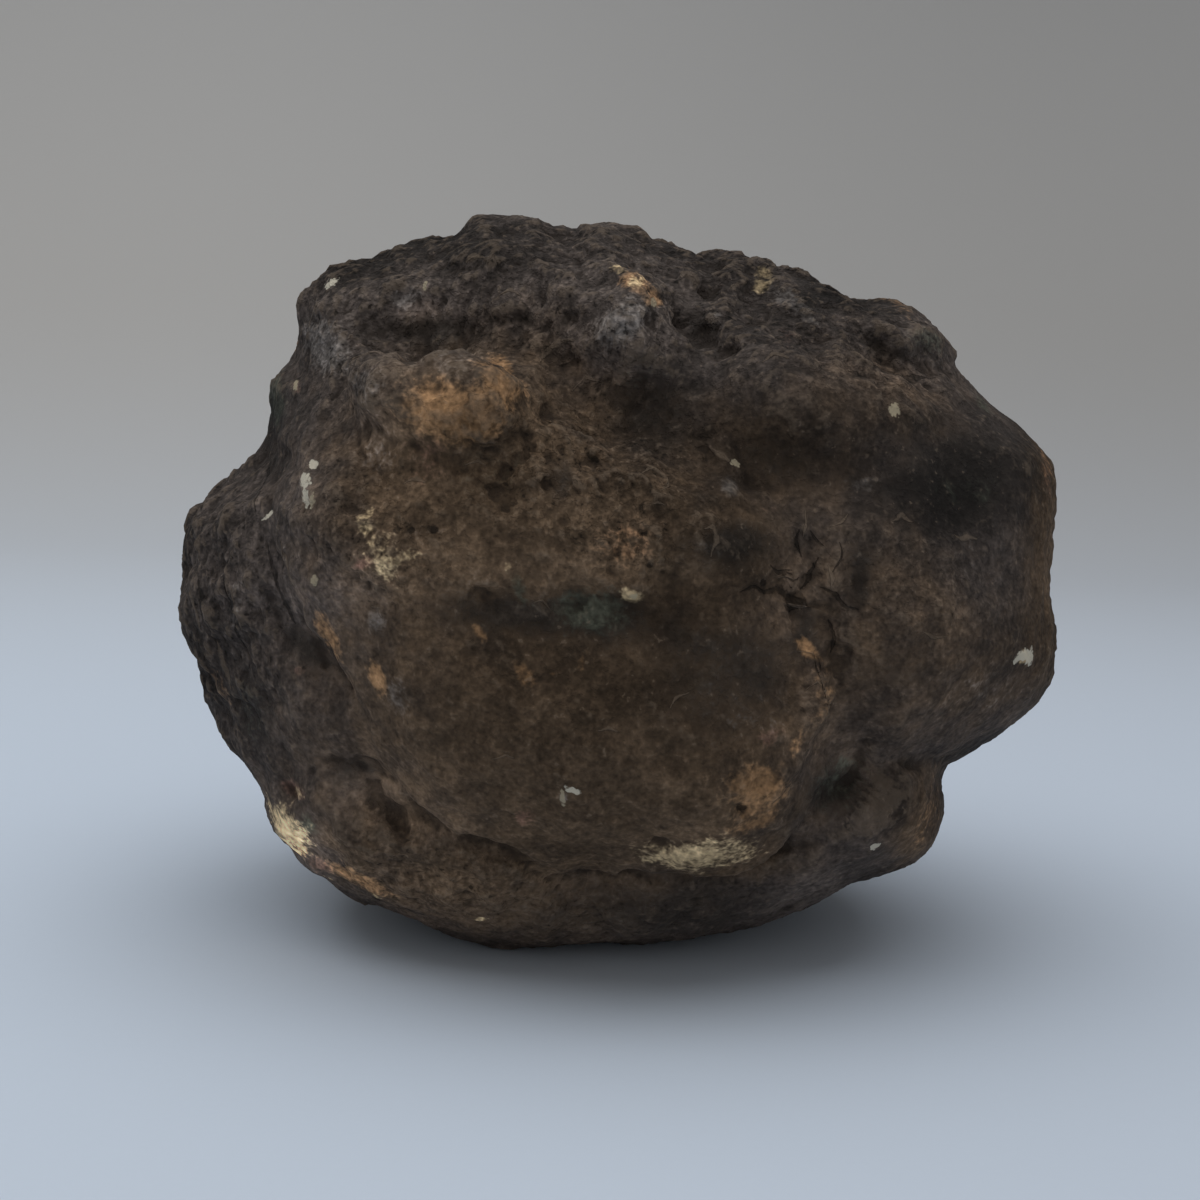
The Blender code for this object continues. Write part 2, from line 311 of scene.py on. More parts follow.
HOLES = (
    # Broad hollows, and places that fall back
    (2, 64, 28, 6.5, -1.8, 0, 1.2), (28, 98, 20, 6, -2.2, -8, 1.2), (-51, 130, 9, 4, -1.2, 0, 1.2),
    (-60, 124, 4, 4, -1, 0, 1.2), (-12, 137, 5, 3, -2, 0, 1.4), (47, 127, 6, 4, -1.8, 0, 1.2),
    (-69, 97, 4, 7, -1.2, 0, 1.2), (-65, 116, 4, 5, -1.2, 0, 1.2), (-86, 68, 5, 7, -1.3, 0, 1.2),
    # The notch in the brow and the pits of the face
    (-36.6, 111.6, 1.3, 3, -1.3, -15, 1.4), (-38, 85, 1, 1, -0.8, 0, 1.5),
    (-35.5, 85, 1, 0.9, -1.3, 0, 1.5), (-32, 85.3, 1.3, 0.9, -1.2, 0, 1.5),
    (-5.6, 97.6, 2.2, 1, -1, -28, 1.5), (-3.7, 96.8, 0.9, 0.8, -1.4, 0, 1.5),
    (4.2, 121.4, 0.9, 1.2, -1.9, 0, 1.5), (13.6, 126, 2.3, 1.9, -2.2, -20, 1.5),
    # Nicks and hollows round the cracks
    (32.8, 84.2, 1.2, 1.4, -0.6, 20, 1.5), (30, 84, 0.8, 1.6, -0.5, 0, 1.5),
    (24.1, 77.6, 1, 1.3, -1.1, 30, 1.5), (20, 76.4, 1.6, 0.6, -0.6, 0, 1.5),
    (32, 69, 2.4, 3.4, -0.3, -15, 1.5), (41, 78, 2.6, 5.5, -1.3, 0, 1.5),
    # Holes in the scabs, and slots
    (-38.4, 31.4, 2, 1.2, -1.2, -32, 1.6), (22, 39.4, 1.7, 1, -1.2, 5, 1.6),
    (8.6, 31.6, 1, 1, -1.4, 0, 1.5), (-14.8, 106.2, 1.9, 0.7, -0.8, -22, 1.5),
    (-12.4, 105.4, 1.6, 0.7, -1.3, -15, 1.5), (-15.6, 100.4, 1.7, 0.7, -0.7, -20, 1.5),
    (-13.8, 98.2, 1, 0.7, -1.1, -40, 1.5), (22.5, 94.4, 2, 0.8, -1.3, 0, 1.5),
    # Bites and pits at the left edge, and single pits
    (-58.6, 32.4, 1.9, 1.6, -2.2, 0, 1.5), (-65.8, 102.3, 1.1, 1.3, -1.3, 0, 1.5),
    (-63.3, 98, 1.1, 1.3, -1.3, 0, 1.5), (-53, 93.8, 0.8, 0.8, -1.4, 0, 1.5),
    (-10.6, 93.8, 2.6, 3.8, -0.9, 10, 1.6), (-22.4, 92.2, 0.9, 1.3, -1.3, 0, 1.5),
    (-35.5, 119, 10, 4.5, -1.7, -5, 1.2), (-38.8, 121.8, 0.9, 1, -1.2, 0, 1.5),
    (37.2, 63.2, 1.3, 1.3, -0.6, 0, 1.5), (54, 115.6, 2.4, 1, -0.9, -15, 1.5),
    (-46.8, 55.6, 1.6, 1, -1.4, -40, 1.5), (-74.5, 72.5, 1.5, 1.5, -1.2, 0, 1.4),
    (-67.5, 60, 1.1, 1.4, -0.9, 0, 1.4),
)
# A ring is a raised rim round a pit, and has no steepness of its own
RINGS = (
    (-40.8, 122, 2.9, 2.3, 0.8, 20), (-12.6, 114.5, 3, 1.8, 1.3, 32), (5.2, 95.2, 2.6, 2, 1.1, -25),
    (13.9, 84.6, 1.4, 2.4, 0.8, 25), (5.8, 90.4, 1.5, 0.8, 0.7, 10), (33.2, 57.4, 2.2, 2.2, 0.6, 0),
)

# %% Cracks and creases: half width and depth, then the line
CRACKS = (
    # Between the plates
    (0.7, 1.7, ((23.5, 77), (25, 76.3), (27.3, 75.7), (29.5, 75.3), (31.5, 74.6), (34, 73.6), (37, 73))),
    (0.65, 1.4, ((33, 81), (32.6, 79), (32, 77.5), (31.2, 76), (30.8, 75))),
    (0.65, 1.3, ((28.6, 73), (30.5, 71.6), (33, 71.6), (35, 71.2), (36.3, 70))),
    (0.8, 0.9, ((36.5, 71.5), (36.9, 69), (36.7, 66), (37.5, 63))),
    (0.6, 1.1, ((34, 76), (37, 75), (40, 73.4), (43, 72.6))),
    # The cheek's groove and scratches of the belly
    (2.4, 0.9, ((-58.5, 66), (-56, 63), (-53, 61), (-50.5, 58.5), (-48.5, 56.5), (-46, 54.5))),
    (0.55, 0.9, ((-12.5, 52), (-11.3, 50), (-11, 47.8))),
    (0.5, 0.7, ((-9, 57.6), (-7.4, 57.4), (-6, 57.2))),
    (0.6, 0.8, ((2, 62.6), (3.4, 62.2), (5, 62.4))),
    # Round the upper bump, the brow and the slate band
    (1.7, 1.8, ((9.5, 125), (10.6, 122.5), (12, 120), (14, 118.2), (16.5, 117))),
    (2.6, 1.6, ((-31, 115), (-34.5, 115), (-38.8, 114.8), (-42.5, 115.2), (-47, 113.6))),
    (2.2, 1.2, ((-18.5, 110.6), (-22.5, 113.4), (-26, 114.8), (-31, 115.2))),
    (2.6, 0.6, ((-30, 72), (-22, 73.2), (-13, 70.6), (-6, 73.6), (2, 73))),
    (0.8, 0.6, ((-40, 106.6), (-34, 107.4), (-28, 107.4), (-24, 107), (-20, 105.7))),
    # Under the crust lobe, the ledge, the belly and the shoulder
    (1.4, 0.9, ((44, 117.5), (48, 116), (52, 115), (56, 113.6), (60, 112.4))),
    (1.4, 1.2, ((-35, 33.4), (-31.5, 31.5), (-27.5, 29.6), (-22, 28.7), (-17.5, 26.8), (-13.5, 24.3))),
    (1.8, 1.8, ((4, 22), (12, 22.6), (20, 22), (27.5, 25), (32, 30))),
    (0.8, 0.7, ((34, 108), (36, 106), (39, 104.6))),
    (0.9, 0.9, ((5, 102.2), (9, 101.4), (13, 100.4), (16, 98.2))),
    # Small creases
    (1.3, 1.4, ((-51, 41), (-47, 40.5), (-43, 40.5), (-41, 39))),
    (1.1, 0.6, ((-43.5, 38), (-43, 35), (-42.6, 32), (-42.8, 30))),
    (0.8, 0.8, ((-29, 68), (-26, 66.4), (-23, 64.5), (-19, 61.5), (-17, 60))),
    (0.8, 0.9, ((47, 113.6), (50, 112.6), (53, 112.4))),
    (0.7, 0.8, ((44, 80.6), (46, 79.6), (47.5, 79.8))),
    (0.7, 0.7, ((58, 81), (62, 79.6), (66, 80))),
)

# %% Ridges: half width and height, then the line
RIDGES = (
    # The crest of the belly's right edge
    (1.9, 1.3, ((29.5, 68.5), (32, 66), (34.5, 62.5), (35.4, 58), (34.6, 53), (32, 49.5), (29, 46),
     (27, 42.5))),
    # Ribs on the left lobe and off the crest
    (0.9, 0.7, ((-69.5, 71), (-68.8, 66), (-68, 61.5))),
    (0.8, 0.6, ((-59.5, 81), (-58.4, 76.5), (-57.4, 72.5))),
    (0.8, 0.6, ((35, 57), (32.6, 53.5), (29.5, 51.5))),
)

# %% Broken edges, whose left side is raised as one walks along the line: push, fade, sharpness, line
EDGES = (
    # The lip over the slate band, the slab on the face, the ridge below the lichen
    (1.7, 8, 0.8, ((-31, 74), (-26, 75.6), (-21, 76), (-17, 75), (-13, 73.5), (-11, 75.6), (-6, 77.5),
     (0, 77), (7, 76))),
    (1.5, 7, 0.7, ((-15.5, 88.5), (-13.2, 91.5), (-12.8, 94), (-14, 97), (-18, 100.5))),
    (1.7, 6, 0.8, ((43, 120), (37, 120.8), (34, 122.5), (31, 124.4), (27, 127.5))),
    # The left cheek, the ledge, the rim of the belly and the crust lobe
    (1, 8, 1.4, ((-63, 88), (-60.5, 80), (-58, 74), (-55.5, 70), (-51, 64), (-47, 58), (-44, 54), (-42, 48),
     (-41, 41))),
    (1.4, 7, 0.9, ((-42, 37), (-38, 33.5), (-34, 34), (-31, 32), (-27, 30.3), (-22, 29.5), (-17, 27.5),
     (-13, 25), (-8, 23), (-1, 22))),
    (1.6, 8, 0.9, ((-4, 21.5), (5, 23), (12, 24), (20, 23.5), (27, 27), (31, 32), (34, 38), (39, 45))),
    (1.6, 6, 0.8, ((41, 119.5), (47, 117), (51, 116), (56, 114), (62, 112))),
    # The lower right lobe, the brow, the middle ridge and the left shoulder
    (0.8, 7, 1, ((63, 39.5), (55, 42), (49, 41), (44, 40), (40, 35))),
    (1.9, 7, 0.6, ((-16.5, 106), (-19, 108.6), (-21.5, 111.3), (-25.5, 112.3), (-30, 112.8), (-34, 112),
     (-36.5, 110.4), (-38.5, 111.4), (-41, 112.4), (-44, 112), (-47, 109.8), (-50, 105.6))),
    (1, 5, 0.8, ((4, 78), (8, 80), (12, 80.5), (16, 79.5))),
    (0.9, 6, 1, ((-53, 104), (-50, 108), (-51, 112), (-54, 117), (-56, 121))),
)

# %% [markdown]
# ### Lines finer than the mesh
#
# A cell of the mesh is almost a millimetre long, so hair cracks and the bright rims of flakes are
# thinner than it can carry. They are listed here too, and get their crisp sides in the finish: the
# cracks are darkened with painted shade, and the rims are lightened, partly as pale crust and partly
# as a painted highlight.

# %% Fine cracks, darkened with painted shade, and the light rims of flakes, partly painted highlight: half width, then the line
FINE_CRACKS = (
    (0.34, ((20, 76.6), (23.5, 76.9), (25, 76), (27.3, 75.9), (29.5, 75.1), (31.5, 74.4), (33, 72.6))),
    (0.3, ((33.4, 81.6), (32.4, 79), (32.2, 77.5), (31.2, 76))),
    (0.28, ((28, 73.4), (29.6, 72.2), (31, 72.2))),
    (0.28, ((34, 76.4), (36.4, 75.6), (38.5, 73.8), (41, 73))),
    (0.28, ((30.2, 86.4), (29.8, 84), (30.6, 81.8))), (0.3, ((32.4, 86.6), (33.4, 84.6), (34.8, 83.4))),
    (0.26, ((25, 80.6), (26.8, 79.2), (29.2, 79.8))), (0.26, ((36.4, 79.4), (37.8, 82), (37.2, 84.4))),
    (0.36, ((35.6, 70.8), (37.2, 68.4), (37, 65.2))), (0.28, ((27.4, 78.8), (29.8, 77.4), (31, 78.2))),
    (0.34, ((44, 114.6), (48, 113.4), (52, 112.4), (57, 111.6))),
    (0.3, ((-63.5, 79), (-61.6, 74), (-60.2, 69), (-57.4, 65))),
    (0.3, ((-72, 74), (-70.6, 68.6), (-69.6, 63), (-68, 58))),
    (0.28, ((-77.5, 70), (-76.6, 65.6), (-75.4, 61))), (0.28, ((-66.8, 92), (-65.6, 87.4), (-65.4, 83.4))),
)
LIGHT_RIMS = (
    (0.42, ((-50, 110.4), (-48.6, 112.2), (-46.9, 113.6))),
    (0.38, ((-47.6, 110.8), (-46.2, 112.4), (-44.9, 113.2))),
    (0.42, ((-15.2, 113), (-13.2, 115.2), (-11, 116.8), (-9.2, 117))),
    (0.4, ((3.2, 96), (4.6, 97.2), (6.8, 96.2), (7.2, 94), (6, 93.2))),
    (0.38, ((12.9, 86.8), (14.4, 87), (15.2, 84.8), (14.6, 82.4))),
    (0.42, ((15, 99.8), (16.8, 98.6), (18.6, 97))), (0.36, ((4.6, 91), (5.8, 91.2), (7.2, 90.6))),
    (0.42, ((31.1, 89.4), (31.4, 87.2), (31.2, 84.6))), (0.4, ((26, 78.2), (28.2, 78.6), (30.4, 77.8))),
    (0.42, ((29, 74.2), (31, 73.6), (33.2, 73))), (0.4, ((35.6, 80.6), (36.4, 78.4), (35.6, 76.2))),
    (0.42, ((36, 87.2), (37.4, 88), (38.6, 89.6))), (0.42, ((30.6, 65.4), (32.6, 66), (34.4, 64))),
    (0.44, ((34.8, 62.4), (35.8, 58.6), (35.4, 54.6), (33.6, 51.2))),
    (0.36, ((32, 59.4), (33.4, 60.6), (34.2, 59))), (0.42, ((-69.2, 70.5), (-68.6, 66), (-67.8, 61.8))),
    (0.4, ((-59.4, 80.8), (-58.5, 76.6), (-57.6, 72.6))), (0.38, ((-57.8, 78.6), (-57, 75), (-56, 71.4))),
    (0.38, ((-74.2, 58.6), (-72.8, 54), (-71, 49.6))),
    (0.38, ((-79.2, 67.6), (-78.2, 63.6), (-77.4, 60.2))), (0.4, ((-42.6, 71), (-41, 71.4), (-39.8, 70))),
    (0.38, ((-14.6, 73.4), (-13, 73.9), (-11.6, 72.8))), (0.36, ((-3, 53.4), (-1.4, 54), (0.4, 53.4))),
    (0.36, ((9.2, 57.8), (10.4, 59.6), (12.4, 60.2))), (0.36, ((-20.6, 47), (-18.8, 47.8), (-16.8, 47.2))),
    (0.36, ((46, 88.4), (48.4, 89), (50.6, 88.2))), (0.36, ((58.4, 85.4), (60.6, 84.4), (63, 84.6))),
    (0.36, ((52, 69.6), (54.4, 68.4), (57, 68.6))), (0.38, ((-27.4, 95.6), (-25.4, 96.8), (-23.4, 96))),
    (0.36, ((-37.6, 92.6), (-35.8, 93.6), (-33.6, 93))),
    (0.38, ((-24, 123.8), (-21.6, 124.8), (-19.4, 123.6))),
    (0.38, ((-9.4, 108.6), (-7.6, 109.8), (-5.4, 109.4))),
    (0.36, ((-29.6, 128.6), (-27.4, 129.6), (-25.4, 129))),
    (0.36, ((22.8, 113.4), (25, 114.2), (27.4, 113.2))),
)

# %% [markdown]
# ## Pushing the relief
#
# Each vertex moves along its own normal by the sum of all features there. The map is a front
# elevation, so it is only true for the side that faces the front. A little behind the outline it
# fades out, and the back keeps the lobes that the solid gives it.

# %% Push the features in and out
VIEW_DOWN = math.radians(9.3)
FRONT = np.array([0.0, -math.cos(VIEW_DOWN), math.sin(VIEW_DOWN)])
FEATURE_SHAKE = 0.7
FEATURE_SHAKE_WAVE = 4.0
MAP_FADE = (-0.32, -0.08)
RING_STEEPNESS = 1.5
RING_HOLE_SHARE = 0.75
RING_WHOLE_SHARE = 1.35
RING_DIP = 1.9


def read_normals(piece):
    """Which way each vertex of a piece faces."""
    ways = np.empty(3 * len(piece.data.vertices), np.float32)
    piece.data.vertex_normals.foreach_get("vector", ways)
    return ways.reshape(-1, 3).astype(float)


def turned_front(points):
    """How far each point lies towards the front: 1 in the middle, 0 near the outline, less behind it."""
    return (points - HEART) / lengths(points - HEART) @ FRONT


on_front = ramp(turned_front(skin), *MAP_FADE)
drawn_at = shaken(skin, FEATURE_SHAKE_WAVE, FEATURE_SHAKE, seed=3.0)
push = np.zeros(len(skin))
for across, height, half_width, half_height, amount, turn, steepness in LUMPS + HOLES:
    push += amount * oval(drawn_at, across, height, half_width, half_height, turn, steepness)
for across, height, half_width, half_height, amount, turn in RINGS:
    whole, hole = (
        oval(drawn_at, across, height, share * half_width, share * half_height, turn, RING_STEEPNESS)
        for share in (RING_WHOLE_SHARE, RING_HOLE_SHARE)
    )
    push += amount * (whole - RING_DIP * hole)
for half_width, depth, line in CRACKS:
    push -= min(depth, half_width) * groove(drawn_at, half_width, line)
for half_width, rise, line in RIDGES:
    push += rise * groove(drawn_at, half_width, line)
for amount, fade, sharpness, line in EDGES:
    push += amount * raised_edge(drawn_at, fade, sharpness, line)
skin += read_normals(stone) * (push * on_front)[:, None]
write_points(stone, skin)
print("features pushed from", round(push.min(), 1), "to", round(push.max(), 1), "mm")

# %% [markdown]
# ## The crust
#
# The stone's top and left side are coarse and craggy, its belly and right lobe are worn smooth. One
# number for each place says how coarse the crust is. Crags are pushed out by hard noise, which has
# round backs and sharp creases, then the skin is chiselled into small flats, and grains and pits of
# irregular outline come last.

# %% How coarse the crust is: across, height, half width, half height, turn, weight
PLAIN_COARSENESS = 0.20
COARSE_STEEPNESS = 1.5
COARSE_PLACES = (
    # The top and the left
    (-8, 127, 66, 15, 0, 0.95), (-50, 112, 14, 14, 0, 0.7), (-73, 66, 15, 28, 0, 0.75),
    (-44, 84, 15, 13, 0, 0.65),
    # The middle and the cracks
    (-6, 97, 20, 11, 0, 0.75), (0, 84, 11, 6, 0, 0.6), (31, 79, 8, 13, 0, 0.1),
    # The right lobe and its shoulder
    (47, 114, 17, 7, -10, 0.7), (52, 76, 13, 9, 0, 0.35),
    # The ledge, the underside, the belly's crest and the right rim
    (-36, 20, 22, 11, 0, 0.5), (5, 12, 40, 10, 0, 0.4), (34, 57, 5, 9, 0, 0.35), (84, 68, 6, 30, 0, 0.3),
)
BACK_COARSENESS = 0.65
BACK_LEAST = 0.3
BACK_WAVE = 26.0

coarse_front = PLAIN_COARSENESS + sum(
    weight * oval(drawn_at, across, height, half_width, half_height, turn, COARSE_STEEPNESS)
    for across, height, half_width, half_height, turn, weight in COARSE_PLACES
)
coarse_back = BACK_LEAST + BACK_COARSENESS * ramp(noise_at(skin, BACK_WAVE, seed=11.0), -0.4, 0.5)
coarseness = np.clip(on_front * coarse_front + (1.0 - on_front) * coarse_back, 0.0, 1.0)
print("mean coarseness:", round(coarseness.mean(), 2))


def hard_noise(points, wave_length, seed, octaves=2):
    """Noise of round backs and sharp creases, from about -1 to 1."""
    shift = Vector((seed, 2.0 * seed, -seed))
    places = (points / wave_length).tolist()
    values = np.array([noise.turbulence(Vector(place) + shift, octaves, True) for place in places])
    return (values - values.mean()) / (2.5 * values.std())

# %% Push out the crags: wave length, octaves, push, share on smooth crust too, seed
SET_BACK = 0.75
STREAK_LEAN = math.radians(15.0)
STREAK_STRETCH = 3.2
STREAK_WAVE = 2.6
STREAK_PUSH = 0.8
CRAGS = (
    (19.0, 1, 1.0, 0.30, 51.0),
    (8.5, 2, 1.0, 0.12, 52.0),
    (4.2, 2, 0.68, 0.07, 53.0),
)

streaks = oval(drawn_at, -72, 62, 20, 36, 8, 2.0) * on_front
flow = np.stack([
    skin[:, 0] * math.cos(STREAK_LEAN) + skin[:, 2] * math.sin(STREAK_LEAN),
    skin[:, 1],
    (skin[:, 2] * math.cos(STREAK_LEAN) - skin[:, 0] * math.sin(STREAK_LEAN)) / STREAK_STRETCH,
], axis=1)
craggy = np.zeros(len(skin))
for wave_length, octaves, amount, everywhere, seed in CRAGS:
    warped = shaken(skin, 0.8 * wave_length, 0.25 * wave_length, seed)
    here = everywhere + (1.0 - everywhere) * coarseness
    craggy += amount * here * hard_noise(warped, wave_length, seed, octaves)
craggy += STREAK_PUSH * streaks * hard_noise(flow, STREAK_WAVE, 57.0)
craggy -= SET_BACK * coarseness
skin += read_normals(stone) * craggy[:, None]
write_points(stone, skin)
print("crags pushed from", round(craggy.min(), 1), "to", round(craggy.max(), 1), "mm")

# %% [markdown]
# ### Small flats
#
# Broken stone is full of small flats. Marks are scattered over the skin, and each vertex is moved
# towards the flat planes through its nearest three marks, blended where two planes meet.

# %% Chisel it into flats
FLAT_GAP = 5.5
FLAT_STRENGTH = 0.75
FLAT_BLEND = 0.7
FLAT_LIMIT = 1.2
FACING_ROUNDS = 6
NEAR_MARKS = 3


def blurred(piece, values, rounds):
    """Values on a piece's vertices, each blended with its neighbours' so many times over."""
    ends = np.empty(2 * len(piece.data.edges), int)
    piece.data.edges.foreach_get("vertices", ends)
    first, second = ends.reshape(-1, 2).T
    count = len(values)
    neighbours = np.bincount(first, minlength=count) + np.bincount(second, minlength=count)
    values = values.copy()
    for _ in range(rounds):
        for axis in range(values.shape[1]):
            column = values[:, axis]
            around = np.bincount(first, column[second], count) + np.bincount(second, column[first], count)
            values[:, axis] = 0.5 * column + 0.5 * around / neighbours
    return values


facing = blurred(stone, read_normals(stone), FACING_ROUNDS)
facing /= lengths(facing)
picks = np.random.default_rng(5).permutation(len(skin))
taken = {}
marks = []
for index in picks.tolist():
    home = tuple((skin[index] // FLAT_GAP).astype(int).tolist())
    if home not in taken:
        taken[home] = index
        marks.append(index)
tree = kdtree.KDTree(len(marks))
for index in marks:
    tree.insert(Vector(skin[index]), index)
tree.balance()
flat_shift = np.zeros(len(skin))
for index, place in enumerate(skin.tolist()):
    near = tree.find_n(Vector(place), NEAR_MARKS)
    weights = [math.exp((near[0][2] - gap) / FLAT_BLEND) for _, _, gap in near]
    heights = [float(facing[mark] @ (skin[mark] - skin[index])) for _, mark, _ in near]
    flat_shift[index] = sum(weight * rise for weight, rise in zip(weights, heights)) / sum(weights)
flat_shift = np.clip(FLAT_STRENGTH * flat_shift, -FLAT_LIMIT, FLAT_LIMIT)
skin += facing * flat_shift[:, None]
write_points(stone, skin)
print("chiselled into", len(marks), "flats")

# %% Grains and pits
GRAIN_PUSH = 0.36
GRAIN_WAVE = 2.3
SMALL_GRAIN_PUSH = 0.10
SMALL_GRAIN_WAVE = 1.8
PIT_DEPTH = 0.7
PIT_WAVE = 3.6
PIT_EDGE = (0.38, 0.66)

facing = read_normals(stone)
warped = shaken(skin, 2.4, 0.7, 61.0)
relief = GRAIN_PUSH * (0.3 + 0.7 * coarseness) * hard_noise(warped, GRAIN_WAVE, 62.0)
relief += SMALL_GRAIN_PUSH * (0.4 + 0.6 * coarseness) * noise_at(skin, SMALL_GRAIN_WAVE, 63.0)
relief -= PIT_DEPTH * coarseness * ramp(noise_at(warped, PIT_WAVE, 73.0), *PIT_EDGE)
skin += facing * relief[:, None]
print("grains and pits from", round(relief.min(), 1), "to", round(relief.max(), 1), "mm")

# %% Flatten the foot
FOOT_LEVEL = 0.0

skin[:, 2] = np.maximum(skin[:, 2], FOOT_LEVEL)
write_points(stone, skin)
deselect_all()
stone.select_set(True)
bpy.context.view_layer.objects.active = stone
bpy.ops.object.shade_smooth()
print("the stone has", len(stone.data.polygons), "cells and stands on", round(skin[:, 2].min(), 2), "mm")
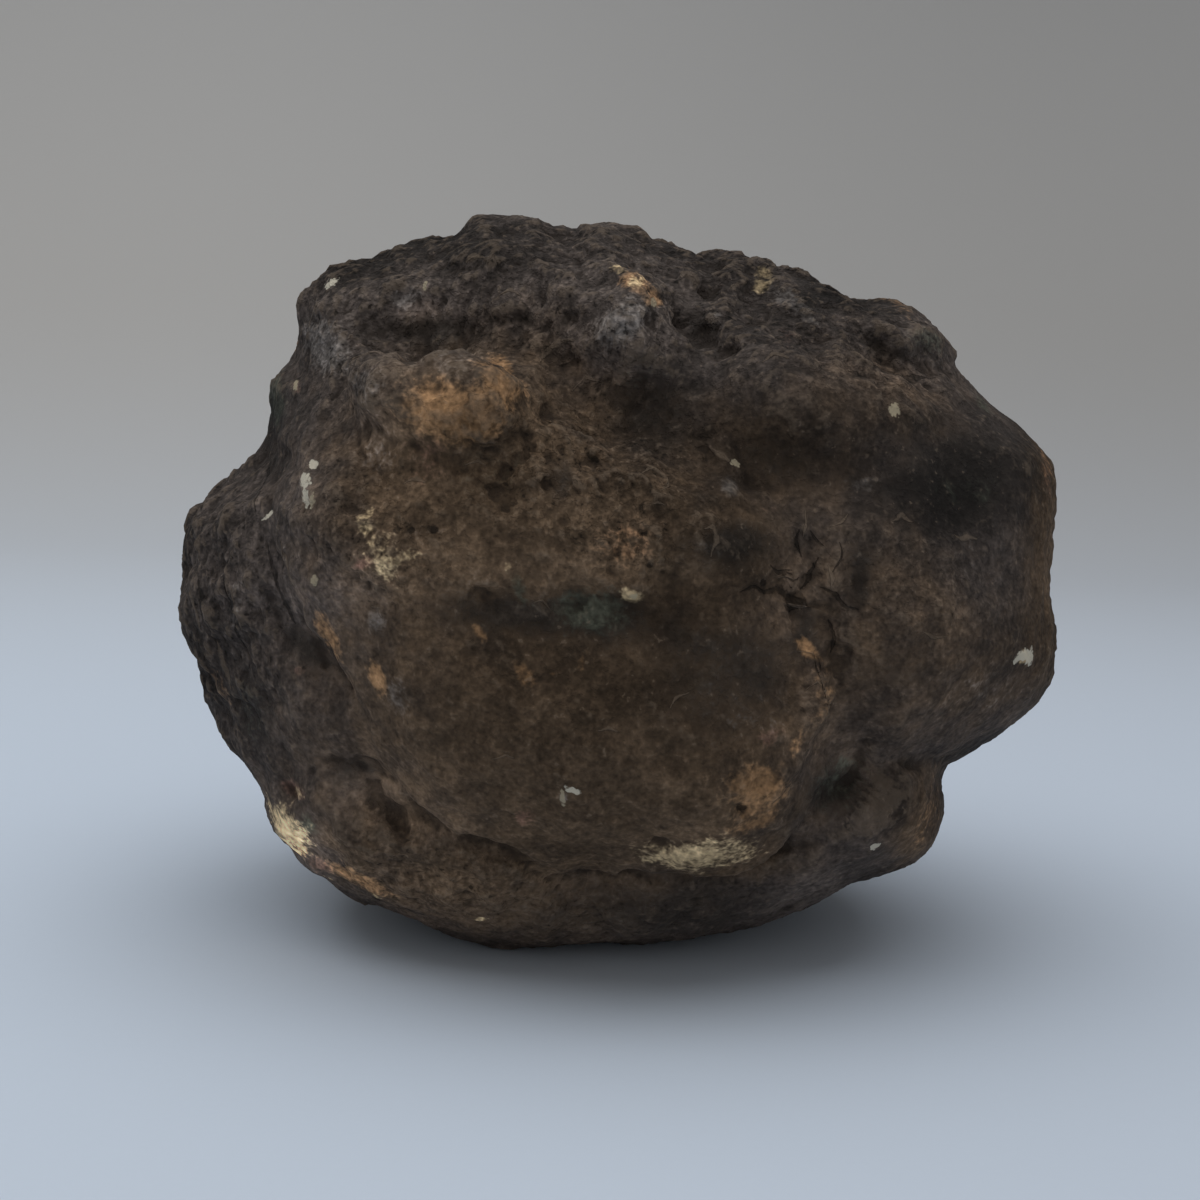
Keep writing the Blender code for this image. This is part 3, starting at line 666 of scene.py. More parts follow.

# %% [markdown]
# ## Painting the map of colours
#
# The crust is not one colour. Its belly is warm brown where iron has rusted, the top and the lobes
# are a colder grey brown, and there are scabs of orange clay, cream lime, green and blue grey. Dark
# slate patches are partly painted shade, under the stone, behind the brow and in hollows. As with
# weight paint, each of these gets a mask on the vertices. The material then breaks up the masks'
# edges with fine noise, so that they look grown and not airbrushed.

# %% Where the colours are: across, height, half width, half height, turn, strength
PAINT = {
    "warm": (
        (-25, 94, 24, 20, 10, 1), (-5, 50, 42, 28, 0, 1), (2, 86, 26, 12, -10, 0.8),
        (-25, 18, 28, 12, -10, 0.7), (46, 109, 18, 8, -15, 0.5), (46, 72, 13, 14, 0, 0.5),
        (25, 100, 16, 8, -10, 0.6), (57, 31, 6, 9, 0, 0.8), (82, 80, 8, 28, 0, 1), (64, 60, 10, 12, 0, 0.5),
        (24, 27, 8, 5, 0, 0.6),
    ),
    "ochre": (
        (-30.5, 105.5, 8.5, 4.6, -5, 1), (-26, 103.5, 5, 3.6, 25, 0.9), (-21.6, 110.3, 4.2, 2, -32, 1),
        (0, 84.5, 6, 3.6, 10, 0.55), (-50.5, 65, 2, 4.8, 25, 0.9), (-41.2, 59, 1.2, 3.2, 22, 1),
        (-15.6, 61.8, 2.6, 1.1, -38, 0.8), (-11, 62.4, 1.3, 0.6, 0, 0.9), (-5.8, 64.4, 1.1, 1.6, 0, 0.7),
        (-23, 68.4, 2.2, 0.9, -35, 0.7), (32.6, 65.6, 2.8, 1, -42, 1), (35.4, 58, 2.2, 7, 6, 0.5),
        (31, 50.5, 1.6, 3, -35, 0.6), (24.4, 43.8, 5.4, 3.9, -5, 1), (24, 37, 5, 2.8, 10, 0.65),
        (-46, 16.6, 6.5, 2.6, -22, 0.9), (-58, 21, 2.2, 4, 0, 0.8), (58.5, 31, 3.5, 8, 0, 0.55),
        (0.4, 126.8, 3.4, 1.7, -20, 0.9), (4.2, 123.8, 1.6, 1.6, 0, 0.9), (79.5, 95, 2.5, 4, 0, 0.6),
        (45, 125.4, 6.5, 1.3, -6, 0.7), (51.5, 122.5, 3, 2, -42, 0.5), (-73, 50, 1.8, 5, 35, 0.6),
        (-63.2, 112, 1.1, 1.5, 0, 0.9), (25, 36, 2.6, 1, 20, 0.6),
    ),
    "cream": (
        (-40.6, 81.4, 3.4, 5.2, 12, 0.62), (-36.8, 80.4, 2.8, 1, 20, 0.6), (-43.6, 86, 1.4, 1.6, 40, 0.7),
        (13.5, 28.6, 6.6, 3, -3, 0.85), (18.5, 30.6, 5, 3.2, 25, 0.6), (24.5, 30.6, 4.6, 2.6, 25, 0.5),
        (6, 28.6, 4.2, 2.6, -10, 0.45), (-59.5, 24, 4.2, 5.8, 25, 1), (-18.3, 79.9, 1.5, 1.5, 0, 0.45),
        (2.2, 75.6, 1.7, 1.6, 0, 1), (-43, 13.4, 1.4, 0.9, -20, 0.9), (-23, 11.2, 1.6, 0.7, 0, 0.8),
        (25, 128.6, 1.6, 1.4, 0, 0.9), (23.4, 126.4, 1.6, 1.2, 0, 0.9), (-56.8, 33.2, 1.6, 1.2, 0, 0.7),
        (-52, 12.6, 1.6, 0.6, -30, 0.7), (73.5, 62.4, 1.9, 1.2, 15, 1), (-2.6, 129, 1.6, 0.6, -5, 0.9),
        (1, 126.6, 1.6, 1.1, 30, 0.9),
    ),
    "grey": (
        (-56, 114, 5, 4.6, -10, 0.8), (-52, 110.4, 3.4, 2.2, 0, 0.6), (-41, 122.4, 3.4, 2.4, 0, 0.6),
        (-2.6, 118.8, 3.6, 3.2, 20, 1), (2, 122, 4.6, 3.6, 0, 0.6), (-33.5, 84.6, 6, 1.8, 0, 0.4),
        (-42, 97, 5, 6, 0, 0.45), (-44.5, 108.4, 4, 3.2, 0, 0.6), (-31, 112.6, 8, 2.2, 0, 0.5),
        (29.4, 123.8, 5.6, 2, -36, 0.7), (15.4, 121, 1.8, 2.4, 0, 0.5), (-37.6, 56.2, 2.2, 3.4, 0, 0.7),
        (22, 57, 9, 7, 0, 0.35), (66, 58, 10, 8, -15, 0.35), (41.6, 94, 3.2, 1, 0, 0.6),
        (18, 93.5, 1.5, 1.5, 0, 0.9), (-41.5, 69, 1.8, 1.8, 0, 0.7), (-69, 66.5, 1, 4.4, -12, 0.6),
        (-24, 78, 5, 3, 0, 0.3), (60, 80, 5, 4, 0, 0.3), (30.4, 73.2, 2.8, 1, -12, 0.55),
        (-58.6, 76.6, 0.9, 4.2, -12, 0.5), (-25, 26, 4, 2, 0, 0.3), (13.9, 84.6, 1.6, 2.4, 25, 0.4),
        (-12, 116, 3, 1.2, 30, 0.4), (-8.5, 41, 0.9, 1.8, 0, 0.6),
    ),
    "green": (
        (-65.5, 102, 2.8, 4.4, 0, 0.9), (-5, 72.6, 5.6, 3, 0, 0.8), (-17.2, 76.2, 1.4, 2.4, 15, 0.8),
        (-55, 27, 1.5, 2.2, 0, 0.7), (40, 40, 5, 5, -30, 0.5), (55.5, 117.6, 4, 2.2, -15, 0.6),
        (60, 91.5, 6, 3, 0, 0.35), (-66, 46, 4, 7, 0, 0.3), (-22, 94, 6, 5, 0, 0.3),
        (2, 112, 6, 3, 0, 0.25), (66.5, 106, 1.6, 1, -40, 0.6), (6, 28, 4, 2.6, -10, 0.3),
    ),
    # Slate: dark crust, and painted shade under the stone, behind the brow and in hollows
    "slate_and_shade": (
        (-16, 71.6, 14, 2.8, -1, 0.85), (-3, 72, 7, 3.6, 0, 0.7), (19, 84.5, 8, 3.2, 0, 0.75),
        (41, 78, 2.2, 5.2, 0, 0.8), (32, 68.6, 2.2, 3.8, -10, 0.8), (60, 95, 12, 6.5, 0, 0.75),
        (-66, 48, 4, 8, 10, 0.55), (38.5, 39.5, 5, 4.6, -30, 0.9), (4, 105, 7, 6, 0, 0.6),
        (-35, 116.4, 7, 2.4, 0, 0.75), (26, 97, 9, 3.4, -12, 0.5), (-55, 61, 5, 2, -42, 0.7),
        (-46, 40.2, 5, 1.4, -5, 0.6), (6, 13, 30, 7, 0, 0.6), (-10.6, 94, 2.4, 3.8, 8, 0.6),
        (53, 115.4, 4, 1.6, -15, 0.7), (17, 60, 10, 8, 0, 0.55), (-28, 46, 2, 3, 0, 0.2),
        (48, 62, 8, 3, 0, 0.3), (14, 68, 8, 3, 0, 0.4), (-48, 116.6, 3, 2, 20, 0.4),
        (24, 63, 5, 3, -40, 0.5), (33, 124, 3.5, 3, -40, 0.5), (12, 119, 2.2, 4, 25, 0.5),
    ),
    "pink": (
        (-34, 97, 5, 4.4, 0, 0.5), (0, 85, 6, 3.6, 0, 0.45), (-43, 79.2, 2.2, 1, 10, 0.8),
        (-15.4, 35.6, 2.4, 1.5, 30, 0.7), (26, 52, 2.4, 1.8, 0, 0.7), (-57.6, 33.4, 2.4, 1.6, 0, 0.9),
        (79, 94, 2.2, 4, 0, 0.6), (-53.4, 17.6, 2.8, 2, 0, 0.7), (-56, 57, 1.4, 1, 0, 0.6),
        (28, 118, 1.6, 1.8, 0, 0.5), (25.5, 89.5, 2.4, 1, 0, 0.5), (10, 76, 3, 1.6, 0, 0.4),
        (-60.5, 105.6, 1.2, 1.1, 0, 0.9), (34, 48, 4, 5, -30, 0.3),
    ),
}
PAINT_SPREAD = 1.2
PAINT_STEEPNESS = 1.2
PAINT_SHAKE = 1.1
PAINT_SHAKE_WAVE = 3.2

# %% Painted light and shade, with some of the crust's own darker and lighter colour: across, height, half width, half height, turn, and stops of light
PAINTED_LIGHT_SHADE_AND_TONES = (
    (-42, 131, 18, 4.5, 8, -1.1), (16, 131, 12, 4, -12, -0.9), (-18, 134, 16, 4, 0, -0.6),
    (-50, 127, 6, 4, 0, -0.7), (35, 127, 4, 4, -20, -1.2), (44, 125, 8, 4, -10, -1.3),
    (22, 121, 9, 5, -10, -1), (33, 119, 8, 4, -15, -0.8), (45, 119, 6, 3, -15, -0.5),
    (-36, 120.5, 7, 3.5, 0, 1.1), (3, 120.5, 5, 4, 0, 0.7), (-4, 113, 6, 4, 0, 0.6),
    (53, 114, 6, 3, -15, 0.6), (-65, 115, 4, 6, 0, -0.7), (-18, 114, 6, 4, 0, -0.5),
    (26, 110, 14, 5, -8, -0.6), (-26, 103, 7, 6, 0, -0.6), (-42, 100, 5, 5, 0, 1),
    (8, 101, 13, 7, -10, -1.1), (33, 98, 14, 6, -10, -0.7), (62, 98, 14, 7, -10, -0.7),
    (77, 98, 5, 8, 0, -0.9), (14, 89, 9, 5, -10, -1), (54, 90, 14, 5, -10, -1), (20, 82, 5, 6, 0, -0.9),
    (-69, 97, 4, 6, 0, -1.2), (-62, 92, 5, 5, 0, -0.5), (-56, 91, 3.5, 4, 0, 0.8), (-46, 86, 5, 4, 0, -0.5),
    (-24, 79, 16, 3.5, 0, 0.6), (-7, 79, 4, 3, 0, 0.6), (-84, 74, 4, 6, 0, -1.1), (-46, 73, 6, 5, 0, 1.1),
    (-56, 70, 4, 7, 0, 0.5), (-14, 66, 11, 4.5, -5, -1), (6, 66, 11, 6, 0, -1), (10, 73, 8, 4, 0, -0.8),
    (3, 59, 12, 5, 0, -0.8), (-21, 58, 6, 6, 0, -0.5), (-12, 51, 10, 5, 0, -0.4), (12, 52, 8, 6, 0, -0.5),
    (28, 57, 5, 5, 0, -0.5), (30, 75, 4, 5, 0, 0.7), (-78, 52, 5, 9, 0, -1.5), (-71, 44, 4, 12, 0, -0.7),
    (-32, 42, 8, 5, 0, 0.6), (-43, 35, 6, 4, 0, 1.1), (-32, 32, 7, 4, 0, 0.9), (42, 43, 5, 4, 0, 0.9),
    (35, 50, 4, 4, 0, 0.5), (49, 48, 4, 6, 0, -0.5), (49, 37, 4, 4, 0, -0.6), (-56, 21, 6, 8, 0, 1.2),
    (-30, 17, 26, 7, -10, 0.8), (-12, 17, 12, 5, 0, 0.4), (-18, 8, 26, 5, -5, 0.7), (10, 8, 12, 4, 0, 0.4),
    (36, 12, 9, 5, 15, 1), (56, 24, 6, 6, 0, 0.6), (38, 19, 8, 4, 0, 0.5), (-7, 29, 6, 3.5, 0, -0.7),
    (12, 35, 6, 3, 0, 0.5), (15, 23, 7, 3, 0, -0.5), (85, 62, 3, 8, 0, -0.9), (72, 41, 6, 4, 0, -0.9),
    (-38, 132, 14, 4, 0, -0.6), (10, 132, 16, 3.5, -6, -0.4), (-54, 127, 5, 4, 0, -0.7),
    (41, 126, 5, 3, 0, -0.9), (-35, 120, 8, 3, 0, 0.8), (0, 108, 3.5, 3.5, 0, 0.9),
    (50, 103, 16, 4, -8, -0.5), (-7, 102, 4, 3, 0, -0.4), (-21, 96, 3, 3, 0, 0.5), (58, 91, 16, 5, 0, -0.4),
    (52, 85, 14, 4, 0, -0.4), (21, 79, 4, 3, 0, -0.5), (49, 71, 4, 4, 0, 0.4), (75, 65, 7, 6, 0, -0.7),
    (31, 37, 4, 3, 0, -0.5), (49, 37, 5, 4, 0, -0.4), (51, 18, 5, 3, 0, -0.7), (-46, 24, 5, 3, 0, -0.4),
    (-14, 42, 6, 5, 0, -0.3), (0, 96, 7, 3, 0, -0.3), (30, 100, 10, 5, 0, -0.2), (-63, 95, 5, 5, 0, -0.3),
    (-68, 48, 4, 6, 0, -0.2), (33, 59, 3, 7, 0, 0.3), (-8, 72, 8, 3, 0, 0.3), (-42, 102, 4, 4, 0, 0.5),
    (-42, 86, 4, 4, 0, 0.3), (-38, 74, 8, 3, 0, 0.4), (4, 66, 12, 3, 0, 0.5), (14, 60, 4, 3, 0, 0.4),
    (22, 27, 4, 3, 0, 0.3), (28, 9, 4, 4, 0, 0.5), (0, 108, 3, 3, 0, 0.4), (50, 97, 5, 3, 0, 0.3),
    (84, 64, 3, 6, 0, -0.5), (77, 103, 3, 3, 0, -0.5), (78, 86, 3, 6, 0, -0.4), (67, 42, 5, 2.5, 0, -0.6),
    (-70, 96, 2.5, 3, 0, -0.6), (-84, 72, 2.5, 3, 0, -0.6), (42, 126, 3, 2, 0, -0.6),
    (-21, 114, 3, 2.5, 0, -0.5), (-30, 109, 8, 3, 0, 0.3),
)

# %% [markdown]
# ### Where the map ends
#
# Towards the flanks the map is shaken harder and fades out along a wavering line, so that no patch
# of the front runs round the side as a straight band. Behind it, noise spreads the same colours:
# each has a wave length, the noise values where it starts and is full, and a strength.

# %% Paint them on, and let noise carry on behind
WILD_PAINT = {
    "warm": (31.0, -0.1, 0.5, 1.0), "ochre": (13.0, 0.42, 0.62, 0.8), "cream": (10.0, 0.52, 0.66, 0.8),
    "grey": (11.0, 0.25, 0.6, 0.6), "green": (14.0, 0.4, 0.65, 0.6), "slate_and_shade": (17.0, 0.15, 0.55, 0.7),
    "pink": (12.0, 0.35, 0.6, 0.6),
}
WILD_TONE = 1.2
WILD_TONE_WAVE = 18.0
PLAIN_TONE = -0.10
TONE_SPREAD = 1.1
FADE_WAVER = 0.12
FADE_WAVE = 13.0
PAINT_FADE = (-0.24, 0.0)
FLANK_SPAN = (-0.15, 0.2)
FLANK_SHAKE = 6.0
FLANK_WAVE = 15.0


def put_attribute(piece, name, values):
    """Stores one number for each vertex, which the material can read by this name."""
    made = piece.data.attributes.new(name, "FLOAT", "POINT")
    made.data.foreach_set("value", values.astype(np.float32))


towards_front = turned_front(skin)
wavering = FADE_WAVER * noise_at(skin, FADE_WAVE, 29.0, 2)
painted_front = ramp(towards_front + wavering, *PAINT_FADE)
flank = 1.0 - ramp(towards_front, *FLANK_SPAN)
painted_at = shaken(skin, PAINT_SHAKE_WAVE, PAINT_SHAKE, seed=47.0)
painted_at += flank[:, None] * (shaken(skin, FLANK_WAVE, FLANK_SHAKE, seed=48.0) - skin)
for number, (colour, patches) in enumerate(PAINT.items()):
    mask = np.zeros(len(skin))
    for across, height, half_width, half_height, turn, strength in patches:
        half_width, half_height = PAINT_SPREAD * half_width, PAINT_SPREAD * half_height
        patch = oval(painted_at, across, height, half_width, half_height, turn, PAINT_STEEPNESS)
        mask = 1.0 - (1.0 - mask) * (1.0 - strength * patch)
    wave_length, low, high, strength = WILD_PAINT[colour]
    wild = strength * ramp(noise_at(painted_at, wave_length, 60.0 + 5.0 * number, 2), low, high)
    mask = painted_front * mask + (1.0 - painted_front) * wild
    put_attribute(stone, colour, mask)
    print(colour, "covers", round(100 * (mask > 0.5).mean(), 1), "% of the stone")

wild_tone = WILD_TONE * noise_at(painted_at, WILD_TONE_WAVE, 91.0, 2)
tone = PLAIN_TONE + (1.0 - painted_front) * wild_tone
# The listed places add painted light and shade, in stops, with some of the crust's own tone
for across, height, half_width, half_height, turn, stops in PAINTED_LIGHT_SHADE_AND_TONES:
    half_width, half_height = TONE_SPREAD * half_width, TONE_SPREAD * half_height
    place = oval(painted_at, across, height, half_width, half_height, turn, PAINT_STEEPNESS)
    tone += stops * painted_front * place
put_attribute(stone, "tone", tone)
print("tones, in stops, from", round(tone.min(), 1), "to", round(tone.max(), 1))

# %% [markdown]
# ### Measuring the way to a fine line
#
# If the mesh stored how far each vertex is from a line, the line would come out blurred, because
# that distance has a kink on the line itself. How far a vertex is to the left has none: it runs
# evenly from plus to minus. So that is stored, in half widths, and the finish turns it into a line.

# %% Measure the way to the fine lines
LINE_REACH = 0.9
LINE_END = 2.5
END_WIDTH = 0.3
FAR_OFF = 9.0


def put_lines(piece, name, lines):
    """Stores, in half widths, how far each vertex is beside the nearest line, and how far off it else."""
    nearest = np.full(len(skin), np.inf)
    aside = np.full(len(skin), FAR_OFF)
    off = np.full(len(skin), FAR_OFF)
    for half_width, line in lines:
        distance, side, past, from_end = beside_line(drawn_at, line)
        width = half_width * (END_WIDTH + (1.0 - END_WIDTH) * ramp(from_end, 0.0, LINE_END))
        closer = distance < nearest
        nearest[closer] = distance[closer]
        aside[closer] = (side / width)[closer]
        off[closer] = ((past + 2.0 * np.maximum(distance - LINE_REACH, 0.0)) / width)[closer]
    put_attribute(piece, name + "_aside", np.clip(aside, -FAR_OFF, FAR_OFF))
    put_attribute(piece, name + "_off", np.where(on_front > 0.5, np.minimum(off, FAR_OFF), FAR_OFF))
    print(len(lines), "lines of kind", name)


put_lines(stone, "crack", FINE_CRACKS)
put_lines(stone, "rim", LIGHT_RIMS)

# %% [markdown]
# ### Hollows and high spots
#
# Dirt stays in hollows and handling polishes high spots, and the hollows also get painted shade.
# Where a vertex lies below the blurred skin it is in a hollow. A few rounds of blurring find pits,
# and many rounds find valleys.

# %% Find the hollows, where dirt and painted shade go
FINE_ROUNDS = 5
BROAD_ROUNDS = 60
FINE_HOLLOW_DEPTH = 0.35
BROAD_HOLLOW_DEPTH = 1.6

facing = read_normals(stone)
fine_rise = ((skin - blurred(stone, skin, FINE_ROUNDS)) * facing).sum(axis=1)
broad_rise = ((skin - blurred(stone, skin, BROAD_ROUNDS)) * facing).sum(axis=1)
put_attribute(stone, "coarse", coarseness)
put_attribute(stone, "streaks", streaks)
put_attribute(stone, "fine_hollow", np.clip(0.5 - 0.5 * fine_rise / FINE_HOLLOW_DEPTH, 0.0, 1.0))
put_attribute(stone, "broad_hollow", np.clip(0.5 - 0.5 * broad_rise / BROAD_HOLLOW_DEPTH, 0.0, 1.0))
for name, rise in (("fine", fine_rise), ("broad", broad_rise)):
    print("rises, in mm:", name, np.round(np.percentile(rise, [1, 99]), 2))

# %% [markdown]
# ## A bench for shader maths
#
# A material is a graph of nodes, and maths in it is easier to read as a sum than as boxes. The class
# Signal wraps one socket, so that adding or multiplying signals adds the Math nodes. The class Finish
# holds the material, and its method node makes any other node in one line.

# %% Signals and finishes
class Signal:
    """A number that changes over the surface, with arithmetic on it."""

    def __init__(self, finish, socket):
        self.finish = finish
        self.socket = socket

    def maths(self, operation, first, second):
        return self.finish.node("ShaderNodeMath", {"operation": operation}, {0: first, 1: second})

    def least(self, other):
        return self.maths("MINIMUM", self, other)

    def __add__(self, other):
        return self.maths("ADD", self, other)

    __radd__ = __add__

    def __mul__(self, other):
        return self.maths("MULTIPLY", self, other)

    __rmul__ = __mul__

    def __sub__(self, other):
        return self.maths("SUBTRACT", self, other)

    def __rsub__(self, other):
        return self.maths("SUBTRACT", other, self)


class Finish:
    """A material in the making."""

    def __init__(self, name):
        self.material = bpy.data.materials.new(name)
        self.material.use_nodes = True
        self.tree = self.material.node_tree
        self.shader = self.tree.nodes["Principled BSDF"]

    def feed(self, socket, value):
        """Links a signal to a socket, or sets the socket to a plain value."""
        if isinstance(value, Signal):
            self.tree.links.new(value.socket, socket)
        else:
            socket.default_value = value

    def node(self, kind, settings=None, inputs=None, output=0):
        """A node of this kind, with its settings made first and then its sockets fed."""
        made = self.tree.nodes.new(kind)
        for name, value in (settings or {}).items():
            setattr(made, name, value)
        for key, value in (inputs or {}).items():
            self.feed(made.inputs[key], value)
        return Signal(self, made.outputs[output])

    def mix(self, share, under, over, blend="MIX"):
        """Lays one colour over another."""
        settings = {"data_type": "RGBA", "blend_type": blend, "clamp_factor": True}
        return self.node("ShaderNodeMix", settings, {0: share, 6: under, 7: over}, 2)

    def climb(self, value, low, high):
        """0 below low, 1 above high, and a smooth climb between."""
        settings = {"interpolation_type": "SMOOTHSTEP"}
        return self.node("ShaderNodeMapRange", settings, {"Value": value, "From Min": low, "From Max": high})

    def attribute(self, name):
        return self.node("ShaderNodeAttribute", {"attribute_name": name}, output="Fac")

    def power(self, base, exponent):
        return self.node("ShaderNodeMath", {"operation": "POWER"}, {0: base, 1: exponent})

    def scaled(self, colour, amount):
        """A colour made lighter or darker by an amount."""
        return self.node("ShaderNodeVectorMath", {"operation": "SCALE"}, {0: colour, "Scale": amount})

# %% [markdown]
# ## The crust's finish
#
# Real crust is never even. Five sizes of noise do most of the work: a cloud of a few centimetres for
# slow drifts in tone, then mottling, flecks, chips and grain, and a stretched one for the streaks of
# the left lobe. All of them read the piece's own coordinates, so that the pattern is carved through
# the stone and has no seams.

# %% Noises of the crust
crust = Finish("weathered_crust")
PLACE = crust.node("ShaderNodeTexCoord", output="Object")


def crust_noise(size, detail, roughness, shift, stretch=(1.0, 1.0, 1.0), lean=0.0):
    """Noise from 0 to 1 with bumps of this size, in mm, that can be stretched into streaks."""
    inputs = {"Vector": PLACE, "Location": (shift, -shift, 2 * shift), "Scale": stretch}
    inputs["Rotation"] = (0.0, lean, 0.0)
    place = crust.node("ShaderNodeMapping", {}, inputs)
    inputs = {"Vector": place, "Scale": 1 / (size * MM), "Detail": detail, "Roughness": roughness}
    return crust.node("ShaderNodeTexNoise", {}, inputs)


coarse = crust.attribute("coarse")
streaky = crust.attribute("streaks")
drift = crust_noise(26.0, 2.0, 0.5, 0.3)
mottle = crust_noise(7.0, 4.0, 0.60, 0.7)
flecks = crust_noise(2.9, 3.0, 0.62, 1.3)
chips = crust_noise(1.7, 2.0, 0.60, 2.9)
grain = crust_noise(1.0, 1.0, 0.60, 1.1)
hatching = crust_noise(2.4, 2.0, 0.6, 2.3, (1.0, 1.0, 0.22), math.radians(-12.0))

# %% Colours of the crust
COLD_BROWN = (0.072, 0.058, 0.051, 1.0)
WARM_BROWN = (0.098, 0.065, 0.0405, 1.0)
DARK_BROWN = (0.018, 0.013, 0.010, 1.0)
# Pale dust, also used for the painted highlight on the rims of flakes
DUST_AND_HIGHLIGHT = (0.200, 0.150, 0.108, 1.0)
OCHRE = (0.40, 0.225, 0.108, 1.0)
CREAM = (0.57, 0.43, 0.25, 1.0)
BLUE_GREY = (0.205, 0.188, 0.176, 1.0)
MOSS_GREEN = (0.060, 0.068, 0.050, 1.0)
SLATE_AND_SHADE = (0.026, 0.022, 0.019, 1.0)
PINK_CLAY = (0.26, 0.135, 0.100, 1.0)
# Near black, for painted shade in pits, in hair cracks and in the mouths of pits
PAINTED_SHADE_BLACK = (0.006, 0.005, 0.004, 1.0)
# For each paint: its share, where its eaten mask starts and is full, and how hard it is eaten
LAYERS = (
    ("slate_and_shade", 0.80, 0.15, 0.85, 0.9, SLATE_AND_SHADE),
    ("green", 0.65, 0.20, 0.80, 0.9, MOSS_GREEN),
    ("pink", 0.45, 0.30, 0.90, 0.9, PINK_CLAY),
    ("grey", 0.50, 0.30, 0.95, 0.9, BLUE_GREY),
    ("ochre", 0.60, 0.35, 0.95, 0.9, OCHRE),
    ("cream", 0.80, 0.40, 0.95, 1.1, CREAM),
)

breaks = 0.40 * flecks + 0.35 * grain + 0.25 * mottle - 0.5
warmth = crust.climb(crust.attribute("warm") + 0.8 * (mottle - 0.5), 0.1, 0.9)
stone_colour = crust.mix(warmth, COLD_BROWN, WARM_BROWN)
for name, share, low, high, bite, paint in LAYERS:
    eaten = crust.climb(crust.attribute(name) + 2.0 * bite * breaks, low, high)
    stone_colour = crust.mix(share * eaten, stone_colour, paint)
print(len(LAYERS), "paints over the two browns")

# %% [markdown]
# ### Texture
#
# The sum of the noises, wobble, makes the colour lighter and darker by a factor of 4.5 to its power.
# A power keeps dark places from turning black, as an equal step on a camera's dial does. Then come
# the painted tones, which are painted light and shade in stops, and last the chips, the wear, the
# dirt with painted shade in the hollows, and the pits, which are darkened as painted shade.

# %% Texture: lighter and darker at every size
CONTRAST = 4.5
STOP = 2.0
fine_hollow = crust.attribute("fine_hollow")
broad_hollow = crust.attribute("broad_hollow")
plates = crust.climb(flecks, 0.50, 0.53)
small_plates = crust.climb(chips, 0.54, 0.57)
wobble = 0.7 * (drift - 0.5) + 1.2 * (mottle - 0.5) + 1.2 * streaky * (hatching - 0.5)
wobble = wobble + (0.7 + 0.2 * coarse) * (flecks - 0.5) + (0.45 + 0.45 * coarse) * (chips - 0.5)
wobble = wobble + (0.75 + 0.75 * coarse) * (grain - 0.5) + 0.04 * plates + 0.03 * small_plates
stone_colour = crust.scaled(stone_colour, crust.power(CONTRAST, wobble))
# Painted light and shade, in stops, read from the tone attribute
stone_colour = crust.scaled(stone_colour, crust.power(STOP, crust.attribute("tone")))
# Dirt and painted shade darken the hollows, towards dark brown
dirt_and_painted_shade = crust.climb(fine_hollow + 0.35 * (broad_hollow - 0.5) + 0.3 * (grain - 0.5), 0.60, 1.0)
wear = crust.climb(fine_hollow - 0.4 * (grain - 0.5), 0.42, 0.10)
chipped = chips + 0.3 * (grain - 0.5)
light_chips = crust.climb(chipped, 0.68, 0.73)
# Pits: darkened towards black as painted shade inside the small pits of the crust
pits = (0.15 + 0.85 * coarse) * crust.climb(chipped - 0.05 * coarse, 0.29, 0.25)
stone_colour = crust.mix(0.30 * light_chips, stone_colour, DUST_AND_HIGHLIGHT)
stone_colour = crust.mix(0.30 * wear, stone_colour, DUST_AND_HIGHLIGHT)
stone_colour = crust.mix(0.65 * dirt_and_painted_shade, stone_colour, DARK_BROWN)
stone_colour = crust.mix(0.60 * pits, stone_colour, PAINTED_SHADE_BLACK)


def line_gap(name):
    """How far the nearest fine line is, in its half widths, with a little noise."""
    aside = crust.attribute(name + "_aside")
    off = crust.attribute(name + "_off")
    return crust.power(aside * aside + off * off, 0.5) + 1.2 * (grain - 0.5)


LINE_EDGE = (1.3, 0.5)
# Hair cracks get painted shade, and the rims of flakes a painted highlight over pale crust
crack = crust.climb(line_gap("crack"), *LINE_EDGE)
rim = crust.climb(line_gap("rim"), *LINE_EDGE)
stone_colour = crust.mix(0.32 * rim, stone_colour, DUST_AND_HIGHLIGHT)
stone_colour = crust.mix(0.55 * crack, stone_colour, PAINTED_SHADE_BLACK)

# %% [markdown]
# ### Specks
#
# Lime grains, clay crumbs and the mouths of pits are crisp, so they can't ride on the mesh either. The
# mouths of pits are dark specks of painted shade. A Mapping node of the kind Texture moves a speck's
# middle to the origin and scales it to a ball of radius 1, so the length of what comes out says how
# far it is to its edge.

# %% Specks: across, height, half width, half height, turn
WHITE_SPECKS = (
    (-55.5, 124, 1.5, 0.8, 20), (-54, 94, 0.9, 0.7, 0), (-55.2, 91.3, 1.2, 1.3, 0),
    (-54.6, 88.6, 0.8, 1.7, 12), (-63, 83.5, 1.3, 0.4, 40), (73.2, 62.6, 2, 1.2, 15), (74.8, 61.6, 1, 1, 0),
    (47.5, 28, 1, 0.7, 30), (-7, 42.5, 1.4, 0.6, -20),
)
CREAM_SPECKS = (
    (46.7, 106.5, 1.1, 1.2, 0), (-60.5, 105.5, 0.7, 0.7, 0), (2.2, 75.5, 0.7, 0.7, 0),
    (-52.5, 75, 0.6, 1, 0), (-53.3, 88.6, 0.6, 1.2, 0), (-8.6, 40.8, 0.5, 1.6, 10), (19, 96.8, 1, 0.5, -30),
    (4, 123.5, 0.7, 0.7, 0), (-37, 124.5, 0.5, 0.9, 0),
)
